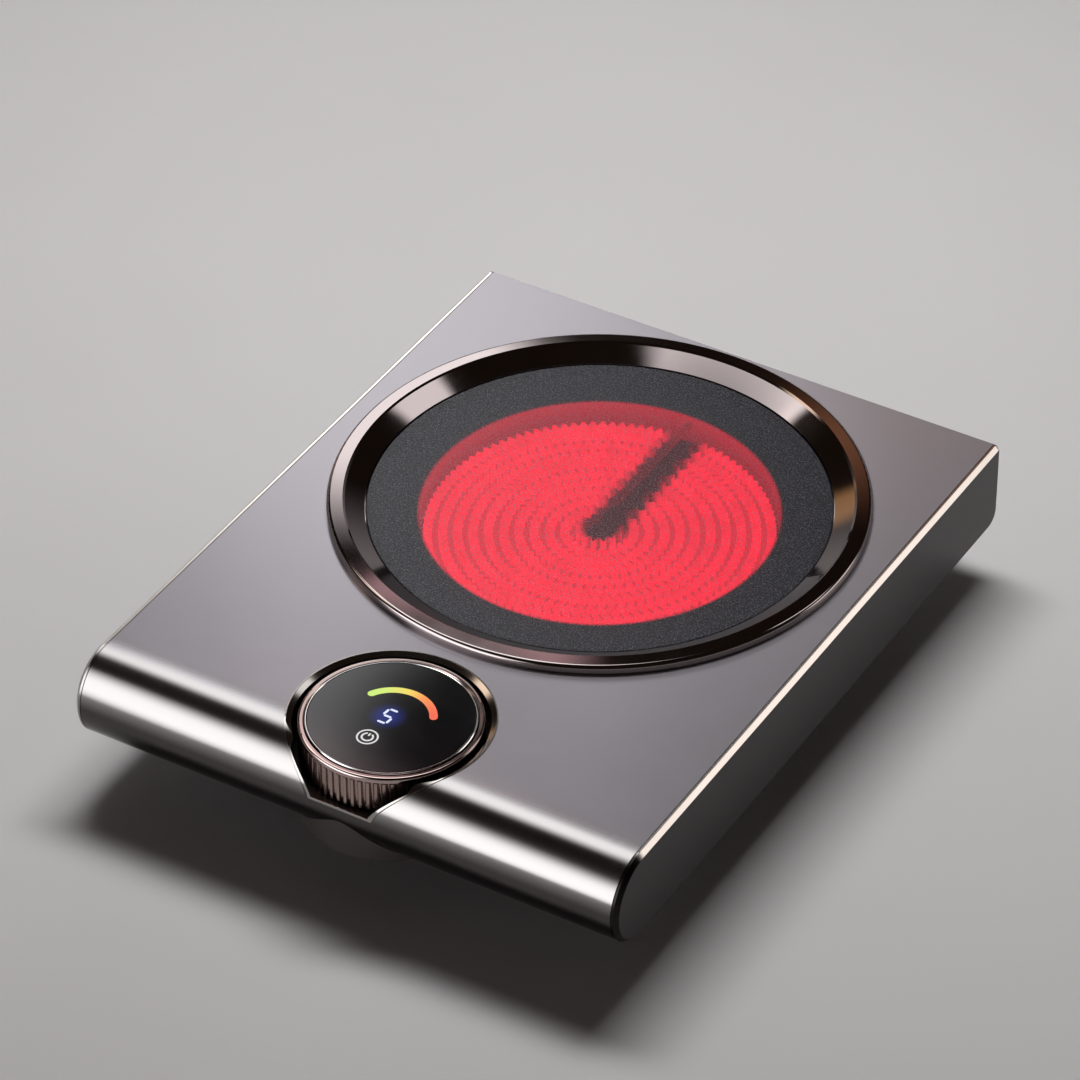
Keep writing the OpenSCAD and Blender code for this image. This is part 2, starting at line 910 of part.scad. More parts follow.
module knob_hub() {
  color("#d6d2c8")
    at_knob()
      difference() {
        rotate_extrude()
          polygon([[hub_bore, well_z - 1.8], [11.2, well_z - 1.8], [11.2, well_z], [hub_r, well_z],
            [hub_r, clip_z], [hub_r - 0.8, clip_z], [hub_r - 0.8, clip_z + 0.9], [hub_r, clip_z + 0.9],
            [hub_r, carrier_z], [hub_bore, carrier_z]]);
        hub_places()
          translate([0, 0, carrier_z - 4.2])
            cylinder(r = 0.85, h = 6);
      }
}

module knob_spacer() {
  color("#e2dfd8")
    at_knob()
      translate([0, 0, floor_z])
        tube(hub_r + 1.1, hub_r + snug, web_z - floor_z - snug);
}

module hub_clip() {
  color("#8d8f92")
    at_knob()
      translate([0, 0, clip_z + 0.05])
        linear_extrude(0.8)
          difference() {
            circle(r = hub_r + 2);
            circle(r = hub_r - 0.75);
            translate([0, -clip_mouth / 2])
              square([2 * hub_r, clip_mouth]);
          }
}

module knob_grip() {
  color("#6a4f45")
    at_knob()
      translate([0, 0, grip_z])
        linear_extrude(bezel_z - grip_z)
          difference() {
            circle(r = grip_r);
            circle(r = grip_in);
            for (i = [0 : flutes - 1])
              rotate([0, 0, i * 360 / flutes])
                translate([grip_r - flute_depth + flute_w / 2, 0]) {
                  circle(r = flute_w / 2, $fn = 24);
                  translate([0, -flute_w / 2])
                    square([flute_depth, flute_w]);
                }
          }
}

module knob_bezel() {
  color("#9c7768")
    at_knob()
      rotate_extrude($fn = 144) {
        polygon([[grip_in, bezel_z], [grip_r - 0.9, bezel_z], [grip_r - 0.9, bezel_z + 0.6],
          [grip_r, bezel_z + 0.6], [grip_r, bezel_top_z - bezel_r], [grip_r - bezel_r, bezel_top_z],
          [grip_in + 0.4, bezel_top_z], [grip_in, bezel_top_z - 0.4]]);
        translate([grip_r - bezel_r, bezel_top_z - bezel_r])
          circle(r = bezel_r, $fn = 48);
      }
}

module knob_core() {
  outer = grip_in - snug;
  color("#232325")
    at_knob() {
      rotate_extrude()
        polygon([[hub_r + run, web_z], [outer, web_z], [outer, web_z + 2], [hub_r + 3, web_z + 2],
          [hub_r + 3, web_z + 4.2], [hub_r + run, web_z + 4.2]]);
      translate([0, 0, gear_z])
        linear_extrude(web_z - gear_z)
          difference() {
            circle(r = ring_pitch_r + 3.5);
            polygon(gear_points(ring_teeth, ring_pitch_r - 0.68 * tooth, ring_pitch_r + 1.25 * tooth,
              backlash));
          }
    }
}

module encoder() {
  color("#3f4a58")
    at_knob()
      translate([gear_gap, 0, well_z - encoder_h])
        difference() {
          translate([-encoder_w / 2, -encoder_w / 2, 0])
            cube([encoder_w, encoder_w, encoder_h]);
          translate([0, 0, 1])
            cylinder(r = shaft_r + snug, h = encoder_h);
        }
}

module encoder_pinion() {
  color("#e8e4da")
    at_knob()
      translate([gear_gap, 0, 0]) {
        translate([0, 0, gear_z + 0.2])
          linear_extrude(web_z - gear_z - 0.5)
            polygon(gear_points(pinion_teeth, pinion_pitch_r - 1.2 * tooth, pinion_pitch_r + 0.9 * tooth,
              -backlash));
        translate([0, 0, well_z - encoder_h + 1.1])
          cylinder(r = shaft_r, h = gear_z + 1 - well_z + encoder_h - 1.1);
        translate([0, 0, floor_z + 0.2])
          cylinder(r = 4, h = gear_z + 1 - floor_z - 0.2);
      }
}

module control_board() {
  color("#2f6b4a")
    at_knob()
      difference() {
        union() {
          translate([0, 0, control_z])
            cylinder(r = control_board_r, h = circuit_t);
          control_places()
            translate([0, 0, control_z])
              cylinder(r = 3, h = well_z - control_z);
        }
        translate([0, 0, control_z - 1])
          cylinder(r = 8, h = 4);
        control_places()
          translate([0, 0, control_z - 1])
            cylinder(r = m25_hole, h = well_z - control_z + 2);
      }
}

module control_board_screws() {
  color("#8d8f92")
    at_knob()
      control_places()
        translate([0, 0, control_z])
          mirror([0, 0, 1])
            m25_screw(well_z - control_z + well_t - 0.2);
}

module display_carrier() {
  color("#26262a")
    at_knob()
      difference() {
        rotate_extrude()
          polygon([[hub_bore, carrier_z], [lens_r, carrier_z], [lens_r, carrier_z + carrier_t],
            [display_board_r, carrier_z + carrier_t], [display_board_r, board_z],
            [display_board_r - 3, board_z], [display_board_r - 3, carrier_z + carrier_t],
            [hub_bore, carrier_z + carrier_t]]);
        hub_places()
          translate([0, 0, carrier_z - 1])
            cylinder(r = 0.95, h = 4);
        lens_pin_places()
          translate([0, 0, carrier_z - 1])
            cylinder(r = pin_r + 0.1, h = 4);
      }
}

module carrier_screws() {
  color("#8d8f92")
    at_knob()
      hub_places()
        translate([0, 0, carrier_z + carrier_t])
          screw(0.8, 4, 1.6, 1.2);
}

module display_board() {
  color("#1f3d2e")
    at_knob()
      translate([0, 0, board_z])
        cylinder(r = display_board_r, h = display_board_t);
}

module display_lights() {
  color("#e8a33c")
    at_knob()
      translate([0, 0, lights_z]) {
        translate([-7.5, -8, 0])
          cube([12, 14, light_h]);
        rotate([0, 0, 30])
          rotate_extrude(angle = 120)
            translate([arc_r, 0])
              square([arc_w, light_h]);
      }
}

module power_key_switch() {
  color("#55585c")
    at_knob()
      translate([key_x - key_w / 2, -key_y - key_w / 2, lights_z])
        cube([key_w, key_w, lens_z - press - 0.1 - lights_z]);
}

module display_glass() {
  color("#0c0c0e")
    at_knob()
      rotate_extrude($fn = 144)
        polygon([[0, lens_z], [lens_r, lens_z], [lens_r, lens_z + lens_t - 0.3],
          [lens_r - 0.3, lens_z + lens_t], [0, lens_z + lens_t]]);
}

module display_rim() {
  rim_top = lens_z + lens_t + 0.1;
  color("#c9c8c6")
    at_knob()
      rotate_extrude($fn = 144)
        polygon([[lens_r + snug, lens_z], [rim_r, lens_z], [rim_r, rim_top - 0.3], [rim_r - 0.3, rim_top],
          [lens_r + 0.2, rim_top], [lens_r + snug, rim_top - 0.2]]);
}

module display_frame() {
  color("#2a2a2d")
    at_knob() {
      translate([0, 0, lens_frame_z])
        tube(rim_r - 0.1, lens_r - 3.6, lens_z - lens_frame_z);
      lens_pin_places()
        translate([0, 0, carrier_z - 0.6])
          cylinder(r = pin_r, h = lens_z - carrier_z + 0.1);
    }
}

module fan_frame() {
  color("#1b1c1f")
    translate([fan_x, fan_y, tub_floor_z])
      difference() {
        union() {
          difference() {
            translate([-fan_s / 2, -fan_s / 2, 0])
              cube([fan_s, fan_s, fan_h]);
            translate([0, 0, -1])
              cylinder(r = fan_s / 2 - 2, h = fan_h + 2);
          }
          cylinder(r = fan_hub_r + 0.5, h = 2);
          translate([0, 0, 1])
            cylinder(r = 4, h = 7);
          for (a = [45, 135])
            rotate([0, 0, a])
              translate([-fan_s / 2, -1.5, 0])
                cube([fan_s, 3, 2]);
        }
        translate([0, 0, 1])
          cylinder(r = fan_shaft_r + snug, h = fan_h);
        for (sx = [-1, 1])
          for (sy = [-1, 1])
            translate([sx * (fan_s / 2 - 4), sy * (fan_s / 2 - 4), -1])
              cylinder(r = m3_hole, h = fan_h + 2);
      }
}

module fan_rotor() {
  blade_r = fan_s / 2 - 3.2;
  color("#26282c")
    translate([fan_x, fan_y, tub_floor_z]) {
      difference() {
        translate([0, 0, 3])
          cylinder(r = fan_hub_r, h = fan_h - 4);
        translate([0, 0, 2])
          cylinder(r = fan_hub_r - 1.5, h = fan_h - 5);
      }
      translate([0, 0, 2])
        cylinder(r = fan_shaft_r, h = fan_h - 3.5);
      intersection() {
        translate([0, 0, 3])
          tube(blade_r, fan_hub_r - 0.9, fan_h - 4);
        for (i = [0 : fan_blades - 1])
          rotate([0, 0, i * 360 / fan_blades])
            translate([fan_hub_r - 1.5, 0, fan_h / 2 + 0.5])
              rotate([40, 0, 0])
                translate([0, -blade_w / 2, -blade_t / 2])
                  cube([fan_s, blade_w, blade_t]);
      }
    }
}

module fan_screws() {
  color("#8d8f92")
    fan_places()
      translate([0, 0, tub_floor_z + fan_h])
        m3_screw(fan_h + base_t - 0.1);
}

module power_board() {
  color("#2f6b4a")
    difference() {
      translate([board_x - board_w / 2, board_y - board_l / 2, power_z])
        cube([board_w, board_l, circuit_t]);
      board_places()
        translate([0, 0, power_z - 1])
          cylinder(r = m3_hole, h = 4);
    }
}

module board_standoffs() {
  color("#b9a052")
    board_places() {
      translate([0, 0, tub_floor_z])
        cylinder(r = 3, h = power_z - tub_floor_z, $fn = 6);
      translate([0, 0, tub_z + 0.1])
        cylinder(r = m3_r, h = power_z - tub_z + 2);
      translate([0, 0, board_top_z])
        cylinder(r = 2.8, h = 1.6);
    }
}

module heat_sink() {
  color("#a6a9ad")
    translate([board_x - sink_w / 2, board_y - board_l / 2 + 2, board_top_z]) {
      cube([sink_w, sink_l, sink_base]);
      for (i = [0 : sink_fins - 1])
        translate([i * (sink_w - fin_t) / (sink_fins - 1), 0, sink_base / 2])
          cube([fin_t, sink_l, sink_h - sink_base / 2]);
    }
}

module power_relay() {
  color("#2b62a8")
    translate([relay_x, block_y, board_top_z])
      cube([relay_w, relay_l, block_h]);
}

module filter_capacitor() {
  color("#c9b23a")
    translate([capacitor_x, block_y, board_top_z])
      cube([capacitor_w, capacitor_l, block_h]);
}

module board_transformer() {
  color("#d0a43c")
    translate([transformer_x, block_y, board_top_z])
      cube([transformer_w, transformer_w, block_h]);
}

module mains_terminals() {
  color("#dcd8ce")
    translate([gland_x - mains_w / 2, tub_back - mains_back - mains_l, tub_floor_z])
      difference() {
        cube([mains_w, mains_l, mains_h]);
        for (i = [0 : 2])
          translate([mains_w / 6 + i * mains_w / 3, mains_l / 2, mains_h / 2])
            cylinder(r = 2.6, h = mains_h);
      }
}

top_shell();
left_end_plate();
right_end_plate();
end_plate_screws();
bottom_plate();
bottom_plate_screws();
base_tub();
base_tub_screws();
rubber_feet();
cord_gland();
trim_ring();
ring_clamps();
ring_clamp_screws();
glass_seal();
glass_plate();
heater_pan();
heater_insulation();
heating_ribbon();
limiter_rod();
limiter_switch();
heater_terminal();
heater_bridge();
bridge_screws();
knob_well();
well_posts();
knob_hub();
knob_spacer();
hub_clip();
knob_grip();
knob_bezel();
knob_core();
encoder();
encoder_pinion();
control_board();
control_board_screws();
display_carrier();
carrier_screws();
display_board();
display_lights();
power_key_switch();
display_glass();
display_rim();
display_frame();
fan_frame();
fan_rotor();
fan_screws();
power_board();
board_standoffs();
heat_sink();
power_relay();
filter_capacitor();
board_transformer();
mains_terminals();
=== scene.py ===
"""Looks of the ceramic hot plate: materials, glow, display marks, studio and camera round the CAD frame."""

import math

import bmesh
import bpy
from mathutils import Matrix, Vector


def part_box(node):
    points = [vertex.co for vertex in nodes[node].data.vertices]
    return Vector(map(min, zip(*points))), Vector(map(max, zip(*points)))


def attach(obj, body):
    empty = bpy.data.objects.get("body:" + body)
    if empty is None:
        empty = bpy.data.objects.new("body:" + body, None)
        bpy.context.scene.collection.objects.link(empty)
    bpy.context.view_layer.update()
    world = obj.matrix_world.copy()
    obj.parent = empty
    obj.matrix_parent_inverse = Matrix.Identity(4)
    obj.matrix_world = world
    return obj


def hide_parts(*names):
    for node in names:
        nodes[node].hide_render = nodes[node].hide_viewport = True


MM = 0.001

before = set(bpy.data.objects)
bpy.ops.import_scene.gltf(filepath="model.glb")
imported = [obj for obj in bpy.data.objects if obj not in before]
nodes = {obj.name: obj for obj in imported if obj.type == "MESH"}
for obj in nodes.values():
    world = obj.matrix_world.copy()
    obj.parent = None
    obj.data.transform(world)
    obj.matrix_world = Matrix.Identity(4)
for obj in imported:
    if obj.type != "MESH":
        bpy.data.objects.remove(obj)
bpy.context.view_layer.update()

# Camera, fitted to the edges of the body and the ellipse of the trim ring in the photograph
CAMERA_AZIMUTH = math.radians(31.0946)
CAMERA_ELEVATION = math.radians(38.2446)
CAMERA_ROLL = math.radians(-0.3445)
CAMERA_DISTANCE = 2.4372
CAMERA_TARGET = Vector((-0.00874, 0.00704, 0.072))
CAMERA_LENS = 177.79
CAMERA_SENSOR = 36.0
CAMERA_FAR = 50.0

# Places taken from the frame
GLASS_LOW, GLASS_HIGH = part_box("glass_plate")
HOB = Vector(((GLASS_LOW.x + GLASS_HIGH.x) / 2, (GLASS_LOW.y + GLASS_HIGH.y) / 2, GLASS_HIGH.z))
RIBBON_LOW, RIBBON_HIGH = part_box("heating_ribbon")
LENS_LOW, LENS_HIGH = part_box("display_glass")
KNOB = Vector(((LENS_LOW.x + LENS_HIGH.x) / 2, (LENS_LOW.y + LENS_HIGH.y) / 2, LENS_HIGH.z))
INSULATION_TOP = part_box("heater_insulation")[1].z
SHELL_LOW, SHELL_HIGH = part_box("top_shell")
PANEL_Z = SHELL_HIGH.z
NOSE_RADIUS = (SHELL_HIGH.z - SHELL_LOW.z) / 2
NOSE_Y = SHELL_LOW.y + NOSE_RADIUS
NOSE_Z = SHELL_LOW.z + NOSE_RADIUS
BODY_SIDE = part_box("right_end_plate")[1].x
RING_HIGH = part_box("trim_ring")[1]

# How the panel begins to lean before the round front starts, and where that ends on it
ROLL_REACH = 14 * MM
ROLL_END = 5 * MM
ROLL_LEAN = math.tan(math.radians(4.5))

# Top of the trim ring: width of its land, fall toward its outer edge, and radius of that edge
LAND_WIDTH = 7.5 * MM
LAND_FALL = math.tan(math.radians(5))
LAND_EDGE = 2.2 * MM

# Colours of the metals, of the shade painted under the round front, and of the turret's paint
TITANIUM = (0.272, 0.262, 0.260)
BLASTED = (0.318, 0.298, 0.325)
UNDERSIDE_SHADE = (0.085, 0.077, 0.078)
TURRET = (0.066, 0.05, 0.044)
ROSE = (0.325, 0.28, 0.278)

# Grain and gloss of the metals: patches vary colour and gloss, grains vary colour and relief
PATCH = 18 * MM
PATCH_SHARE = 0.6
PATCH_RANGE = (0.25, 0.75)
FINE_GRAIN = 0.35 * MM
NOSE_ROUGHNESS = 0.165
PANEL_ROUGHNESS = 0.2
PANEL_METALLIC = 0.45
PAINT_ROUGHER = 0.3

# Tint of the hob's glass: the share it takes, more in a speck, and the cosine of slant below which it grows
GLASS_TINT = 0.74
SPECK_TINT = 0.1
TINT_SLANT = 0.62

# Glow of the heater: its colour, how far from the cold lane's middle it starts and is full, and its
# strengths; on the insulation and the rod the glow is painted light from the ribbon
GLOW = (1.0, 0.012, 0.044)
LANE_DARK = 5 * MM
LANE_LIT = 14 * MM
RIBBON_GLOW = (3.0, 3.7)
BED_PAINTED_LIGHT = 2.2
WALL_PAINTED_LIGHT = (0.72, 1.45)
ROD_PAINTED_LIGHT = (0.25, 0.44)

# Heating ribbon, the same serpentine as its CAD node, which is thicker
COIL_TURNS = 11
COIL_INNER = 9 * MM
RIBBON_THICKNESS = 0.6 * MM
NODE_THICKNESS = 1 * MM
COIL_PITCH = (RIBBON_HIGH.x - NODE_THICKNESS / 2 - COIL_INNER) / (COIL_TURNS - 1)
LANE = 5 * MM
ZONE_RADIUS = 84 * MM
WAVE_LENGTH = 4.6 * MM
WAVE_HEIGHT = 1.9 * MM
WAVE_STEPS = 7
FEWEST_STEPS = 24
BEND_FREEDOM = 0.35

# Marks on the display
ARC_RADIUS = 18.5 * MM
ARC_WIDTH = 3.7 * MM
ARC_ENDS = (30, 150)
DIGIT_CENTRE = Vector((-1.7 * MM, -0.4 * MM))
DIGIT_WIDTH = 4.7 * MM
DIGIT_HEIGHT = 9.4 * MM
DIGIT_LINE = 1.2 * MM
DIGIT_SLANT = 0.1
DIGIT_GAP = 0.12
POWER_CENTRE = Vector((-1.9 * MM, -16.7 * MM))
POWER_RING = 4.6 * MM
POWER_RING_LINE = 0.8 * MM
POWER_SIGN = 2.5 * MM
POWER_SIGN_LINE = 0.9 * MM
POWER_SIGN_ENDS = (125, 415)
POWER_STEM = (0.25, 1.15)
MARK_HEIGHT = 0.03 * MM

# Studio: half the floor's side, the sky's colours, the way up, and a light's usual fade and tint
FLOOR_REACH = 6.0
HORIZON = (0.30, 0.292, 0.29)
ZENITH = (0.016, 0.0105, 0.0075)
UP = Vector((0, 0, 1))
EVEN = (0.2,) * 4
WHITE = (1.0, 1.0, 1.0)

# Sockets of a Mix node that mixes colours
MIX_FACTOR, MIX_A, MIX_B, MIX_RESULT = 0, 6, 7, 2


class Graph:
    """Adds shader nodes to one node tree."""

    def __init__(self, tree):
        self.tree = tree
        self.tree.nodes.clear()

    def add(self, kind, inputs=(), **settings):
        made = self.tree.nodes.new(kind)
        for key, value in settings.items():
            setattr(made, key, value)
        for key, value in dict(inputs).items():
            self.put(made.inputs[key], value)
        return made

    def put(self, socket, value):
        if isinstance(value, bpy.types.NodeSocket):
            self.tree.links.new(value, socket)
        else:
            socket.default_value = value

    def math(self, operation, a, b=0.0, clamp=False):
        made = self.add("ShaderNodeMath", operation=operation, use_clamp=clamp)
        self.put(made.inputs[0], a)
        self.put(made.inputs[1], b)
        return made.outputs[0]

    def step(self, value, low, high, start=0.0, end=1.0):
        """Smooth step from start, at low, to end, at high."""
        inputs = {"Value": value, "From Min": low, "From Max": high, "To Min": start, "To Max": end}
        return self.add("ShaderNodeMapRange", inputs, interpolation_type="SMOOTHSTEP").outputs["Result"]

    def length(self, a, b):
        """Length of the vector with those two sides."""
        squares = self.math("ADD", self.math("MULTIPLY", a, a), self.math("MULTIPLY", b, b))
        return self.math("SQRT", squares)

    def noise(self, where, size, detail=2.0, rough=0.5):
        """Noise whose grains are about size metres."""
        inputs = {"Vector": where, "Scale": 1 / size, "Detail": detail, "Roughness": rough}
        return self.add("ShaderNodeTexNoise", inputs).outputs["Fac"]

    def tone(self, patches, grains):
        """Patches and grains together, to vary a colour."""
        coarse = self.math("MULTIPLY", patches, PATCH_SHARE)
        return self.math("ADD", coarse, self.math("MULTIPLY", grains, 1 - PATCH_SHARE))

    def mix(self, share, a, b):
        made = self.add("ShaderNodeMix", data_type="RGBA")
        for socket, value in ((MIX_FACTOR, share), (MIX_A, a), (MIX_B, b)):
            self.put(made.inputs[socket], value)
        return made.outputs[MIX_RESULT]

    def place(self):
        return self.add("ShaderNodeTexCoord").outputs["Object"]

    def split(self, vector):
        made = self.add("ShaderNodeSeparateXYZ", {"Vector": vector})
        return made.outputs[0], made.outputs[1], made.outputs[2]

    def bump(self, height, depth, normal=None):
        made = self.add("ShaderNodeBump", {"Height": height, "Distance": depth, "Strength": 1.0})
        if normal is not None:
            self.put(made.inputs["Normal"], normal)
        return made.outputs["Normal"]

    def facing(self, x, y, z):
        """The unit vector along x, y, z."""
        made = self.add("ShaderNodeCombineXYZ", {"X": x, "Y": y, "Z": z})
        return self.add("ShaderNodeVectorMath", {0: made.outputs[0]}, operation="NORMALIZE").outputs[0]

    def normal(self):
        return self.add("ShaderNodeNewGeometry").outputs["Normal"]


def colour(red, green, blue):
    return (red, green, blue, 1.0)


def shade(base, factor):
    return (base[0] * factor, base[1] * factor, base[2] * factor, 1.0)


def material(name):
    """A material with only an output and a Principled shader, and its graph."""
    made = bpy.data.materials.new(name)
    made.use_nodes = True
    graph = Graph(made.node_tree)
    shader = graph.add("ShaderNodeBsdfPrincipled")
    output = graph.add("ShaderNodeOutputMaterial")
    graph.tree.links.new(shader.outputs[0], output.inputs[0])
    return made, graph, shader


def surface(name, base, roughness, metallic=0.0, grain=0.4 * MM, depth=0.004 * MM, vary=0.06, patch=PATCH,
            rough_vary=0.04, coat=0.0):
    """A procedural surface: patchy colour and gloss, and a fine grain in relief."""
    made, graph, shader = material(name)
    where = graph.place()
    patches = graph.noise(where, patch, detail=3.0)
    grains = graph.noise(where, grain)
    tone = graph.tone(patches, grains)
    graph.put(shader.inputs["Base Color"], graph.mix(tone, shade(base, 1 - vary), shade(base, 1 + vary)))
    gloss = graph.step(patches, *PATCH_RANGE, roughness - rough_vary, roughness + rough_vary)
    graph.put(shader.inputs["Roughness"], gloss)
    graph.put(shader.inputs["Normal"], graph.bump(grains, depth))
    shader.inputs["Metallic"].default_value = metallic
    shader.inputs["Coat Weight"].default_value = coat
    return made


def dress(made, *names):
    """Gives those nodes that material."""
    for name in names:
        mesh = nodes[name].data
        mesh.materials.clear()
        mesh.materials.append(made)


def rolled_normal(graph, y, z):
    """Normal of the panel and the round front, and masks of that skin and of what stands out past it."""
    past = graph.math("MINIMUM", graph.math("SUBTRACT", y, NOSE_Y), 0.0)
    rise = graph.math("SUBTRACT", z, NOSE_Z)
    reach = graph.length(past, rise)
    past_skin = graph.step(reach, NOSE_RADIUS + 0.15 * MM, NOSE_RADIUS + 0.4 * MM)
    from_skin = graph.step(reach, NOSE_RADIUS - 0.5 * MM, NOSE_RADIUS - 0.35 * MM)
    on_skin = graph.math("SUBTRACT", from_skin, past_skin)
    ease_in = graph.math("DIVIDE", graph.math("SUBTRACT", NOSE_Y + ROLL_REACH, y), ROLL_REACH, clamp=True)
    ease_out = graph.math("DIVIDE", graph.math("SUBTRACT", y, NOSE_Y - ROLL_END), ROLL_END, clamp=True)
    ease = graph.math("MULTIPLY", ease_in, ease_out)
    lean = graph.math("MULTIPLY", graph.math("MULTIPLY", ease, ease), ROLL_LEAN)
    back = graph.math("SUBTRACT", graph.math("DIVIDE", past, NOSE_RADIUS), lean)
    return graph.facing(0.0, back, graph.math("DIVIDE", rise, NOSE_RADIUS)), on_skin, past_skin


def shell_finish():
    """Dark titanium sheet: a blasted panel that runs into a polished round front, with painted shade
    darkening it underneath.

    The turret under the knob, which stands out past the round front, is painted."""
    made, graph, shader = material("shell_metal")
    where = graph.place()
    _, y, z = graph.split(where)
    patches = graph.noise(where, PATCH, detail=3.0)
    grains = graph.noise(where, FINE_GRAIN)
    tone = graph.tone(patches, grains)
    polished = graph.mix(tone, shade(TITANIUM, 0.97), shade(TITANIUM, 1.03))
    blasted = graph.mix(tone, shade(BLASTED, 0.97), shade(BLASTED, 1.03))
    on_panel = graph.step(y, NOSE_Y - 6 * MM, NOSE_Y + 12 * MM)
    light = graph.mix(on_panel, polished, blasted)
    # Painted shade: from a little above the round front's middle downward, the metal is painted darker.
    dark = graph.mix(tone, shade(UNDERSIDE_SHADE, 0.95), shade(UNDERSIDE_SHADE, 1.05))
    under = graph.step(z, NOSE_Z + 8 * MM, NOSE_Z + 1 * MM)
    rolled, on_skin, on_turret = rolled_normal(graph, y, z)
    metal = graph.mix(under, light, dark)
    graph.put(shader.inputs["Base Color"], graph.mix(on_turret, metal, colour(*TURRET)))
    satin = graph.step(on_panel, 0.0, 1.0, NOSE_ROUGHNESS, PANEL_ROUGHNESS)
    gloss = graph.math("ADD", satin, graph.math("MULTIPLY", patches, 0.03))
    painted = graph.math("MULTIPLY", on_turret, PAINT_ROUGHER)
    graph.put(shader.inputs["Roughness"], graph.math("ADD", gloss, painted))
    normal = graph.mix(on_skin, graph.normal(), rolled)
    graph.put(shader.inputs["Normal"], graph.bump(grains, 0.0006 * MM, normal=normal))
    metallic = graph.step(on_panel, 0.0, 1.0, 1.0, PANEL_METALLIC)
    graph.put(shader.inputs["Metallic"], graph.math("SUBTRACT", metallic, on_turret, clamp=True))
    return made


def end_finish():
    """Near-black satin face and, on the right plate, a near-black cut round the nose, both painted shade; a
    bright cut along its top edge, partly a painted highlight; and the shell's metal round the left plate.
    """
    made, graph, shader = material("end_metal")
    where = graph.place()
    x, y, z = graph.split(where)
    face = graph.step(graph.math("ABSOLUTE", x), BODY_SIDE - 0.12 * MM, BODY_SIDE - 0.04 * MM)
    painted_highlight_edge = graph.math("MULTIPLY", graph.step(z, PANEL_Z - 4 * MM, PANEL_Z - 3 * MM),
                          graph.step(y, NOSE_Y - 4 * MM, NOSE_Y + 2 * MM))
    cut = graph.math("MAXIMUM", painted_highlight_edge, graph.step(x, 1 * MM, -1 * MM))
    plain = graph.math("SUBTRACT", 1.0, graph.math("MULTIPLY", cut, graph.math("SUBTRACT", 1.0, face)))
    grains = graph.noise(where, FINE_GRAIN)
    patches = graph.noise(where, PATCH, detail=3.0)
    # Painted shade: the near-black faces and the rest of the right plate off its top edge; painted highlight:
    # the bright cut along the top edge, which is partly brighter metal.
    dark = graph.mix(patches, colour(0.018, 0.0155, 0.015), colour(0.024, 0.021, 0.02))
    bright = graph.mix(patches, colour(0.60, 0.55, 0.52), colour(0.66, 0.61, 0.58))
    metal = graph.mix(painted_highlight_edge, colour(*TITANIUM), bright)
    graph.put(shader.inputs["Base Color"], graph.mix(plain, metal, dark))
    graph.put(shader.inputs["Roughness"], graph.step(plain, 0.0, 1.0, 0.2, 0.28))
    graph.put(shader.inputs["Normal"], graph.bump(grains, 0.0002 * MM))
    shader.inputs["Metallic"].default_value = 1.0
    return made


def well_finish():
    """Pocket of the knob: painted black inside as painted shade in the recess, with a polished collar and rim
    along the body's surface.
    """
    made, graph, shader = material("well_metal")
    where = graph.place()
    _, y, z = graph.split(where)
    along = graph.math("SUBTRACT", y, NOSE_Y)
    rise = graph.math("SUBTRACT", z, NOSE_Z)
    on_nose = graph.step(graph.length(along, rise), NOSE_RADIUS, NOSE_RADIUS + 0.2 * MM)
    on_panel = graph.step(z, PANEL_Z - 1.9 * MM, PANEL_Z - 1.7 * MM)
    in_front = graph.step(along, 1 * MM, -1 * MM)
    on_rim = graph.math("MAXIMUM", on_panel, graph.math("MULTIPLY", on_nose, in_front))
    patches = graph.noise(where, 6 * MM, detail=3.0)
    # Painted shade: the inside of the pocket is near-black.
    dark = graph.mix(patches, colour(0.03, 0.026, 0.025), colour(0.045, 0.04, 0.038))
    bright = graph.mix(patches, colour(0.35, 0.33, 0.31), colour(0.39, 0.365, 0.345))
    graph.put(shader.inputs["Base Color"], graph.mix(on_rim, dark, bright))
    graph.put(shader.inputs["Roughness"], graph.step(on_rim, 0.0, 1.0, 0.3, 0.12))
    shader.inputs["Metallic"].default_value = 1.0
    return made


bezel_chrome = surface("bezel_chrome", (0.47, 0.37, 0.35), 0.1, 1.0, grain=1 * MM, depth=0.0005 * MM,
                       vary=0.03, rough_vary=0.02)
grip_metal = surface("grip_metal", (0.4, 0.3, 0.27), 0.22, 1.0, grain=0.3 * MM, depth=0.001 * MM, vary=0.06)
rim_chrome = surface("rim_chrome", (0.82, 0.81, 0.80), 0.12, 1.0, grain=0.5 * MM, depth=0.0005 * MM,
                     vary=0.02, rough_vary=0.02)
screw_steel = surface("screw_steel", (0.55, 0.55, 0.56), 0.32, 1.0, vary=0.06)
base_sheet = surface("base_sheet", (0.42, 0.42, 0.43), 0.4, 1.0, vary=0.07, patch=30 * MM)
bracket_steel = surface("bracket_steel", (0.5, 0.5, 0.51), 0.36, 1.0, vary=0.08)
pan_steel = surface("pan_steel", (0.56, 0.56, 0.57), 0.38, 1.0, vary=0.08)
tub_plastic = surface("tub_plastic", (0.022, 0.022, 0.024), 0.5, grain=0.6 * MM, depth=0.02 * MM, vary=0.12)
foot_rubber = surface("foot_rubber", (0.014, 0.014, 0.014), 0.72, grain=0.5 * MM, depth=0.02 * MM, vary=0.2)
gland_plastic = surface("gland_plastic", (0.018, 0.018, 0.019), 0.48, depth=0.015 * MM, vary=0.12)
seal_rubber = surface("seal_rubber", (0.02, 0.02, 0.021), 0.7, depth=0.01 * MM, vary=0.2)
core_plastic = surface("core_plastic", (0.018, 0.018, 0.02), 0.45, depth=0.01 * MM, vary=0.1)
bearing_plastic = surface("bearing_plastic", (0.62, 0.6, 0.55), 0.42, depth=0.006 * MM, vary=0.05)
ceramic = surface("terminal_ceramic", (0.68, 0.64, 0.56), 0.55, depth=0.01 * MM, vary=0.08)
